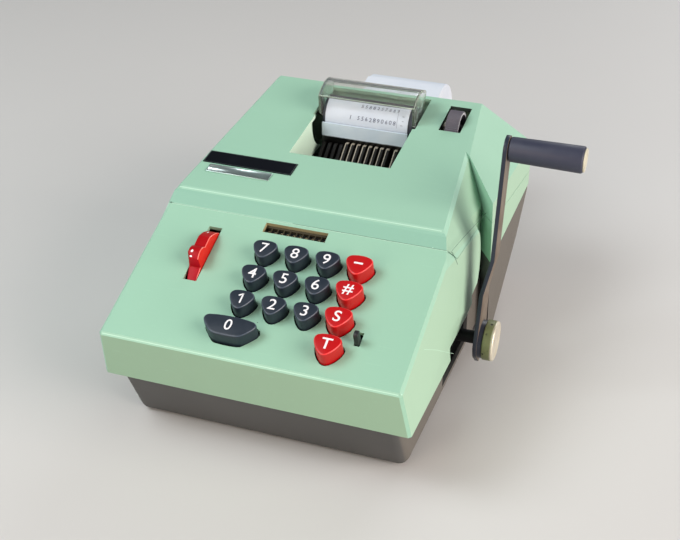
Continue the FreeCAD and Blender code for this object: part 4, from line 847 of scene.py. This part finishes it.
def gripMade():
    x, bore, axis = gripForm["x"], gripForm["bore"], gripForm["axis"]
    end = x + gripForm["length"]
    seat = end - 1.1  # where the cream disc sits
    profile = [(x, bore)] + corner(x + 1.3, 6.0, 1.3, 180, 95, 6) + [(x + 22, 7.6)]
    profile += corner(end - 2.5, 6.5, 1.36, 86, 0, 6) + [(seat, 5.9), (seat, bore), (x, bore)]
    finished(lathe(profile, *axis), "crankGrip", gripFinish, bodyOf("crank_grip"), ["crank_grip"])
    profile = [(seat, 3.3), (seat, 6.9)] + corner(end - 0.7, 6.5, 0.5, 80, 0, 4)
    profile += [(end - 0.2, 3.3), (seat, 3.3)]
    finished(lathe(profile, *axis), "gripEndDisc", gripEndFinish, bodyOf("crank_grip"))
    head = x - gripForm["head"]
    profile = [(head, 0), (head, 2.5), (seat, 2.5), (seat, 3.2), (end - 0.4, 3.2)]
    profile += corner(end - 0.4, 2.8, 0.35, 80, 0, 3) + [(end - 0.05, 0)]
    finished(lathe(profile, *axis), "gripPin", gripEndFinish, bodyOf("grip_pin"), ["grip_pin"])


ringAndCapMade()
gripMade()
print("crank made")


# thumbwheel: fine ribs, a light rim, a dished face and a knurled collar on the shaft
thumbForm = {"left": 51.9, "width": 8.6, "radius": 13.2, "ribs": 70, "ribDepth": 0.3, "edge": 0.5,
             "rim": 1.8, "wall": 0.05, "dish": 4.0, "hub": 4.5}
collarForm = {"radius": 5.4, "width": 3.0, "ribs": 18, "ribDepth": 0.5}
sideways = Matrix.Rotation(math.pi / 2, 4, "Y")


def ribbedDisc(x0, width, radius, ribs, ribDepth):
    b = bmesh.new()
    place = Matrix.Translation(spot(x0 + width / 2, platen["back"], platen["up"])) @ sideways
    bmesh.ops.create_cone(b, cap_ends=True, segments=2 * ribs, radius1=radius * mm, radius2=radius * mm,
                          depth=width * mm, matrix=place)
    axis = spot(x0, platen["back"], platen["up"])
    for v in b.verts:
        turn = math.atan2(v.co.z - axis.z, v.co.y - axis.y)
        if round(turn / math.tau * 2 * ribs) % 2:
            v.co.y += (axis.y - v.co.y) * ribDepth / radius
            v.co.z += (axis.z - v.co.z) * ribDepth / radius
    return b


def thumbWheelMade():
    w = thumbForm
    b = ribbedDisc(w["left"], w["width"], w["radius"], w["ribs"], w["ribDepth"])
    cap = max(b.faces, key=lambda f: f.calc_center_median().x)
    eased(b, list(cap.edges), w["edge"], 2)
    cap = max(b.faces, key=lambda f: (round(f.calc_center_median().x, 7), f.calc_area()))
    before = set(b.faces)
    bmesh.ops.inset_region(b, faces=[cap], thickness=(w["rim"] - w["edge"]) * mm)
    for face in b.faces:
        if face not in before:
            face.material_index = 1
    dishWidth = w["radius"] - w["rim"] - w["hub"]
    # down into the dish, across it, and up again to the hub
    for thickness, depth in ((w["wall"], -w["dish"]), (dishWidth, 0), (w["wall"], w["dish"])):
        bmesh.ops.inset_region(b, faces=[cap], thickness=thickness * mm, depth=depth * mm)
    finishes = [thumbFinish, thumbRimFinish]
    finished(b, "thumbWheel", finishes, bodyOf("thumbwheel"), ["thumbwheel"], sharp=25)
    c = collarForm
    b = ribbedDisc(w["left"] - c["width"], c["width"], c["radius"], c["ribs"], c["ribDepth"])
    eased(b, sharpEdges(b, 70), 0.2, 1)
    finished(b, "thumbCollar", steelFinish, bodyOf("thumbwheel"), sharp=25)


thumbWheelMade()
print("thumbwheel made")


# visor: clear bent sheet with eased edges, and painted highlight lines along them
visorForm = {"radius": 22.0, "worn": 23.4, "edge": 0.3}
visorHighlightForm = {"left": -33.9, "right": 31.9, "first": 52.5, "last": 128.5, "radius": 22.95, "line": 0.45,
           "steps": 24}
axle = spot(0, platen["back"], platen["up"])


def visorMade():
    b = cadCopy("hood")
    swell = visorForm["worn"] / visorForm["radius"]
    bmesh.ops.scale(b, vec=(1, swell, swell), space=Matrix.Translation(-axle), verts=b.verts)
    eased(b, sharpEdges(b, 55), visorForm["edge"], 2)
    finished(b, "visor", clearFinish, bodyOf("hood"), ["hood"], sharp=35)


def visorRimsMade():
    r = visorHighlightForm
    line = r["line"]
    b = bmesh.new()
    for x in (r["left"], r["right"] - line):
        y, z = platen["back"] + r["radius"], platen["up"]
        square = [(x, y), (x + line, y), (x + line, y + line), (x, y + line)]
        ring = [b.verts.new(spot(across, back, z)) for across, back in square]
        start = b.faces.new(ring)
        turned = Matrix.Rotation(math.radians(r["first"]), 3, "X")
        bmesh.ops.rotate(b, cent=axle, matrix=turned, verts=ring)
        bmesh.ops.spin(b, geom=[start], cent=axle, axis=(1, 0, 0), dvec=(0, 0, 0), steps=r["steps"],
                       angle=math.radians(r["last"] - r["first"]), use_merge=False)
    for turn in (r["first"], r["last"]):
        middleX = (r["left"] + r["right"]) / 2
        place = roundPlace(middleX, platen["back"], platen["up"], r["radius"] + line / 2, turn)
        addBox(b, place, r["right"] - r["left"], line, line)
    bmesh.ops.recalc_face_normals(b, faces=b.faces)
    finished(b, "visorRimHighlights", visorRimHighlightFinish, bodyOf("hood"), sharp=40)


visorMade()
visorRimsMade()
print("visor made")


# paper: torn end over the strip, two printed rows of figures, a ruled line with ticks
paperForm = {"left": -30.0, "width": 57.0, "outer": 12.66, "end": 114.0, "tear": 3.2, "sheet": 0.15,
             "columns": 76, "ink": 0.07}


def tornEndMade():
    b = bmesh.new()
    steps = paperForm["columns"]
    bmesh.ops.create_grid(b, x_segments=steps, y_segments=3, size=0.5)
    jag = [dice.uniform(-1, 1) for i in range(steps + 1)]
    for v in b.verts:
        across = v.co.x + 0.5
        column = round(across * steps)
        row = v.co.y + 0.5
        wave = 0.5 * math.sin(column * 0.23) + 0.3 * math.sin(column * 0.61)
        lift = row * (paperForm["tear"] * (0.72 + 0.16 * wave + 0.12 * jag[column]))
        turn = math.radians(paperForm["end"] + 1.0 - math.degrees(lift / paperForm["outer"]))
        x = paperForm["left"] + across * paperForm["width"]
        radius = paperForm["outer"] - 0.02
        v.co = spot(x, platen["back"] + radius * math.cos(turn), platen["up"] + radius * math.sin(turn))

    def inward(place):
        return Vector((0, axle.y - place.y, axle.z - place.z)).normalized() * paperForm["sheet"] * mm

    thickened(b, inward)
    finished(b, "tornEnd", paperFinish, "machine", sharp=60)


def printedRow(name, text, first, pitch, turn, height):
    b = bmesh.new()
    for i, sign in enumerate(text):
        if sign == " ":
            continue
        mesh = writtenMesh(sign, height * dice.uniform(0.94, 1.06), 0.006, 0.03, slant=0.1, fine=2)
        tilt = Matrix.Rotation(math.radians(dice.uniform(-3, 3)), 4, "Z")
        x = first + i * pitch
        uneven = turn + dice.uniform(-0.5, 0.5)
        radius = paperForm["outer"] + paperForm["ink"]
        place = roundPlace(x, platen["back"], platen["up"], radius, uneven)
        addMesh(b, mesh, place @ tilt)
    finished(b, name, inkFinish, "machine", sharp=0)


def dividerMade():
    # ruled line down the paper and three short ticks beside it
    b = bmesh.new()
    marks = [(19.6, turn, 0.16, 1.3) for turn in range(116, 172, 6)]
    marks += [(23.2, 136, 1.5, 0.3), (23.4, 150, 1.2, 0.3), (22.8, 163, 1.6, 0.3)]
    for x, turn, wide, tall in marks:
        place = roundPlace(x, platen["back"], platen["up"], paperForm["outer"] + 0.06, turn)
        addBox(b, place, wide, tall, 0.02)
    finished(b, "divider", inkFinish, "machine", sharp=0)


tornEndMade()
printedRow("printedRowLow", "1 5562890608", -12.4, 2.75, 159, 2.7)
printedRow("printedRowHigh", "5588257889", -5.6, 2.75, 121, 2.4)
dividerMade()
print("paper printed")


# type bars: sloping plates, dark on the left, with bright edges on the nine right ones
barForm = {"first": -29.9, "pitch": 4.05, "thickness": 2.0, "count": 13, "dark": 4, "gap": 1.5,
           "rear": 213.3, "front": 193.1, "top": 106.8, "lowTop": 105.0, "nose": 2.2, "slope": 10.8,
           "foot": 88.0, "edge": 0.62, "faintEdge": 0.4, "proud": 0.1}


def barOutline(index, grow=0.0):
    f = barForm
    front, rear = f["front"] - grow, f["rear"]
    top = (f["lowTop"] if index < f["dark"] else f["top"]) + grow
    return [(front, f["foot"]), (front, top - f["slope"]), (rear - f["nose"], top), (rear, top - 0.3),
            (rear, f["foot"])]


def barPlace(index):
    last = index == barForm["count"] - 1
    return barForm["first"] + index * barForm["pitch"] + (barForm["gap"] if last else 0)


def plateMade(b, x, outline, thickness):
    # flat plate standing on its edge, from its outline in y and z
    start = b.faces.new([b.verts.new(spot(x, y, z)) for y, z in outline])
    grown = bmesh.ops.extrude_face_region(b, geom=[start])
    far = [g for g in grown["geom"] if isinstance(g, bmesh.types.BMVert)]
    bmesh.ops.translate(b, verts=far, vec=(thickness * mm, 0, 0))


def typeBarsMade():
    proud, count, dark = barForm["proud"], barForm["count"], barForm["dark"]
    b = bmesh.new()
    for index in range(count):
        plateMade(b, barPlace(index), barOutline(index), barForm["thickness"])
    bmesh.ops.recalc_face_normals(b, faces=b.faces)
    finished(b, "typeBars", typeFinish, "type_bars", ["type_bars"], sharp=20)
    b = bmesh.new()
    for index in range(dark, count):
        x = barPlace(index) - proud
        plateMade(b, x, barOutline(index, proud), barForm["edge"])
        (noseY, noseZ), (rearY, rearZ) = barOutline(index, proud)[2:4]
        cap = [(noseY - 0.5, noseZ - 0.2), (noseY, noseZ + 0.05), (rearY + 0.05, rearZ + 0.05),
               (rearY + 0.05, rearZ - 1.2)]
        plateMade(b, x, cap, barForm["thickness"] + 0.1)
    bmesh.ops.recalc_face_normals(b, faces=b.faces)
    finished(b, "typeBarEdges", typeEdgeFinish, "type_bars", sharp=20)
    b = bmesh.new()
    for index in range(dark):
        plateMade(b, barPlace(index) - proud, barOutline(index, proud), barForm["faintEdge"])
    bmesh.ops.recalc_face_normals(b, faces=b.faces)
    finished(b, "typeBarFaintEdges", darkSteelFinish, "type_bars", sharp=20)


typeBarsMade()
print("type bars edged")


# paper roll: rounded rims and the wound layers on its ends
def rollMade():
    r = rollPlace
    left, right, soft = r["x"], r["x"] + r["width"], r["soft"]
    profile = [(left, r["core"])] + corner(left + soft, r["radius"] - soft, soft, 180, 90)
    profile += corner(right - soft, r["radius"] - soft, soft, 90, 0)
    profile += [(right, r["core"]), (left, r["core"])]
    b = lathe(profile, r["back"], r["up"], 120)
    finished(b, "paperRoll", rollFinish, bodyOf("paper_roll"), ["paper_roll"])


rollMade()
print("roll made")


# bare plates: a dark one with a pale line round it, a bright one with a raised border
plateForm = {"inset": 0.55, "line": 0.35, "border": 0.6, "soft": 0.2, "step": 0.1, "sink": 0.25}


def labelPlateMade():
    b = cadCopy("label_plate")
    face = max(b.faces, key=lambda f: f.normal.z)
    bmesh.ops.inset_region(b, faces=[face], thickness=plateForm["inset"] * mm)
    before = set(b.faces)
    bmesh.ops.inset_region(b, faces=[face], thickness=plateForm["line"] * mm)
    for face in b.faces:
        if face not in before:
            face.material_index = 1
    finishes = [labelFinish, labelLineFinish]
    finished(b, "labelPlate", finishes, bodyOf("label_plate"), ["label_plate"], sharp=20)


def badgeStripMade():
    b = cadCopy("badge_strip")
    eased(b, [e for e in sharpEdges(b, 60) if climb(e) < 0.9 * mm], plateForm["soft"], 2)
    face = max(b.faces, key=lambda f: f.normal.z * f.calc_area())
    bmesh.ops.inset_region(b, faces=[face], thickness=plateForm["border"] * mm)
    bmesh.ops.inset_region(b, faces=[face], thickness=plateForm["step"] * mm, depth=-plateForm["sink"] * mm)
    finished(b, "badgeStrip", badgeFinish, bodyOf("badge_strip"), ["badge_strip"], sharp=30)


labelPlateMade()
badgeStripMade()
print("plates made")


hairForm = {"under": 0.04, "thickness": 0.09}


def hairline(name, points, width, normal, finish):
    # thin line along points that lie on the casing: a dark parting line, or a painted highlight along a
    # crease, seam or side
    up = Vector(normal).normalized()
    b = bmesh.new()
    places = [spot(*p) - up * hairForm["under"] * mm for p in points]
    side = up.cross(places[-1] - places[0]).normalized() * width * mm
    chain = [b.verts.new(p - side / 2) for p in places]
    edges = [b.edges.new(pair) for pair in zip(chain, chain[1:])]
    made = bmesh.ops.extrude_edge_only(b, edges=edges)
    across = [g for g in made["geom"] if isinstance(g, bmesh.types.BMVert)]
    bmesh.ops.translate(b, verts=across, vec=side)
    thickened(b, lambda place: up * hairForm["thickness"] * mm)
    finished(b, name, finish, "machine", sharp=0)


wallNormal = (1, -sideWall["splay"], sideWall["lean"])
keyboardNormal = (0, -math.sin(keyboard["angle"]), math.cos(keyboard["angle"]))
hairlines = {
    # points, width, normal, finish
    "sideParting": ([(88.65, 97.98, 108.82), (89.75, 120.0, 105.05), (91.2, 147.53, 99.6),
                     (92.78, 177.95, 93.76)], 0.28, wallNormal, seamShadeFinish),
    "sideCrack": ([(88.3, 96.5, 108.9), (88.76, 98.0, 107.76), (89.58, 103.19, 101.18),
                   (90.37, 107.05, 94.54)], 0.55, wallNormal, seamShadeFinish),
    # painted highlights along the side, the nose step, the front crease and the seam
    "sideHighlightLine": ([(89.62, 39.84, 79.71), (91.64, 59.9, 65.93), (94.85, 89.75, 43.45)],
                      0.22, wallNormal, highlightAndChipFinish),
    "noseHighlightLine": ([(-86.4, 108.5, 114.17), (79.5, 108.5, 114.17)], 0.7, (0, -0.27, 0.96), highlightAndChipFinish),
    "creaseHighlightLine": ([(-86.6, 0.93, 76.2), (86.6, 0.93, 76.2)], 0.5, (0, -0.875, 0.483), highlightAndChipFinish),
    "seamHighlightLine": ([(-86.6, 96.62, 108.77), (86.4, 96.62, 108.77)], 0.35, keyboardNormal, highlightAndChipFinish),
    "seamHighlightFill": ([(-85.4, 97.35, 109.02), (-8.0, 97.35, 109.02)], 0.9, keyboardNormal, edgeHighlightFinish),
}
for title, (points, width, normal, finish) in hairlines.items():
    hairline(title, points, width, normal, finish)

chips = {
    # place, its face's slope from level in degrees, width, length, finish
    "seamSpeck": ((-87.29, 97.37, 109.01), 18.36, 1.3, 1.0, shadeFinish),
    "keyboardSpeck": ((-2.66, 26.42, 85.47), 18.36, 0.6, 0.5, shadeFinish),
    "seamChip": ((77.44, 97.45, 109.04), 18.36, 1.1, 0.6, highlightAndChipFinish),
    "cornerChip": ((88.3, 1.0, 77.0), 40.0, 1.0, 0.8, highlightAndChipFinish),
}
for title, (point, slope, wide, tall, finish) in chips.items():
    b = bmesh.new()
    place = Matrix.Translation(spot(*point)) @ Matrix.Rotation(math.radians(slope), 4, "X")
    addDot(b, place, wide, tall, 0.16, 14)
    finished(b, title, finish, "machine", sharp=0)
print("surface lines and chips drawn")


# the camera as it stood to the object in the photograph, in millimetres from the crease
stage = {"size": 6.0, "camera": (223.61, -491.93, 478.23), "turn": 18.944, "tilt": 32.433, "lens": 65.55,
         "sky": (0.82, 0.86, 0.9, 1), "skyPower": 0.2}


def stageMade():
    b = bmesh.new()
    bmesh.ops.create_grid(b, x_segments=1, y_segments=1, size=stage["size"])
    mesh = bpy.data.meshes.new("floor")
    b.to_mesh(mesh)
    b.free()
    floor = bpy.data.objects.new("floor", mesh)
    bpy.context.scene.collection.objects.link(floor)
    f = Finish("floorPale", Roughness=0.55)
    f.feed("Base Color", f.blendColour(f.speckle(6, 3) * 0.3, tone(206, 206, 204), tone(196, 196, 195)))
    mesh.materials.append(f.material)
    camera = bpy.data.cameras.new("camera")
    camera.lens = stage["lens"]
    camera.sensor_width = 36
    camera.sensor_fit = "HORIZONTAL"
    camera.clip_start = 0.01
    holder = bpy.data.objects.new("camera", camera)
    holder.location = spot(*stage["camera"])
    holder.rotation_euler = (math.radians(90 - stage["tilt"]), 0, math.radians(stage["turn"]))
    bpy.context.scene.collection.objects.link(holder)
    bpy.context.scene.camera = holder


lamps = [
    # name, place in metres, aimed at, size, power, colour
    ("sideLamp", (1.9, -0.6, 0.85), (0, 0, 0.06), 1.7, 54, (1.0, 0.88, 0.82)),
    ("frontLamp", (-0.7, -1.8, 0.8), (0, 0, 0.05), 1.2, 13, (1.0, 0.82, 0.68)),
    ("topLamp", (-0.8, -0.55, 1.2), (0, 0, 0.05), 0.7, 13.3, (0.93, 0.98, 1.0)),
    ("rearLamp", (0.4, 2.0, 1.2), (0, 0, 0.1), 1.0, 14, (0.96, 0.98, 1.0)),
]


def lampsMade():
    for name, place, aim, size, power, colour in lamps:
        light = bpy.data.lights.new(name, "AREA")
        light.size = size
        light.energy = power
        light.color = colour
        holder = bpy.data.objects.new(name, light)
        holder.location = place
        holder.rotation_euler = (Vector(aim) - Vector(place)).to_track_quat("-Z", "Y").to_euler()
        bpy.context.scene.collection.objects.link(holder)
    world = bpy.data.worlds.new("studio")
    bpy.context.scene.world = world
    world.use_nodes = True
    sky = world.node_tree.nodes["Background"]
    sky.inputs[0].default_value = stage["sky"]
    sky.inputs[1].default_value = stage["skyPower"]
    bpy.context.scene.view_settings.view_transform = "Standard"


stageMade()
lampsMade()
print("stage and lamps set")
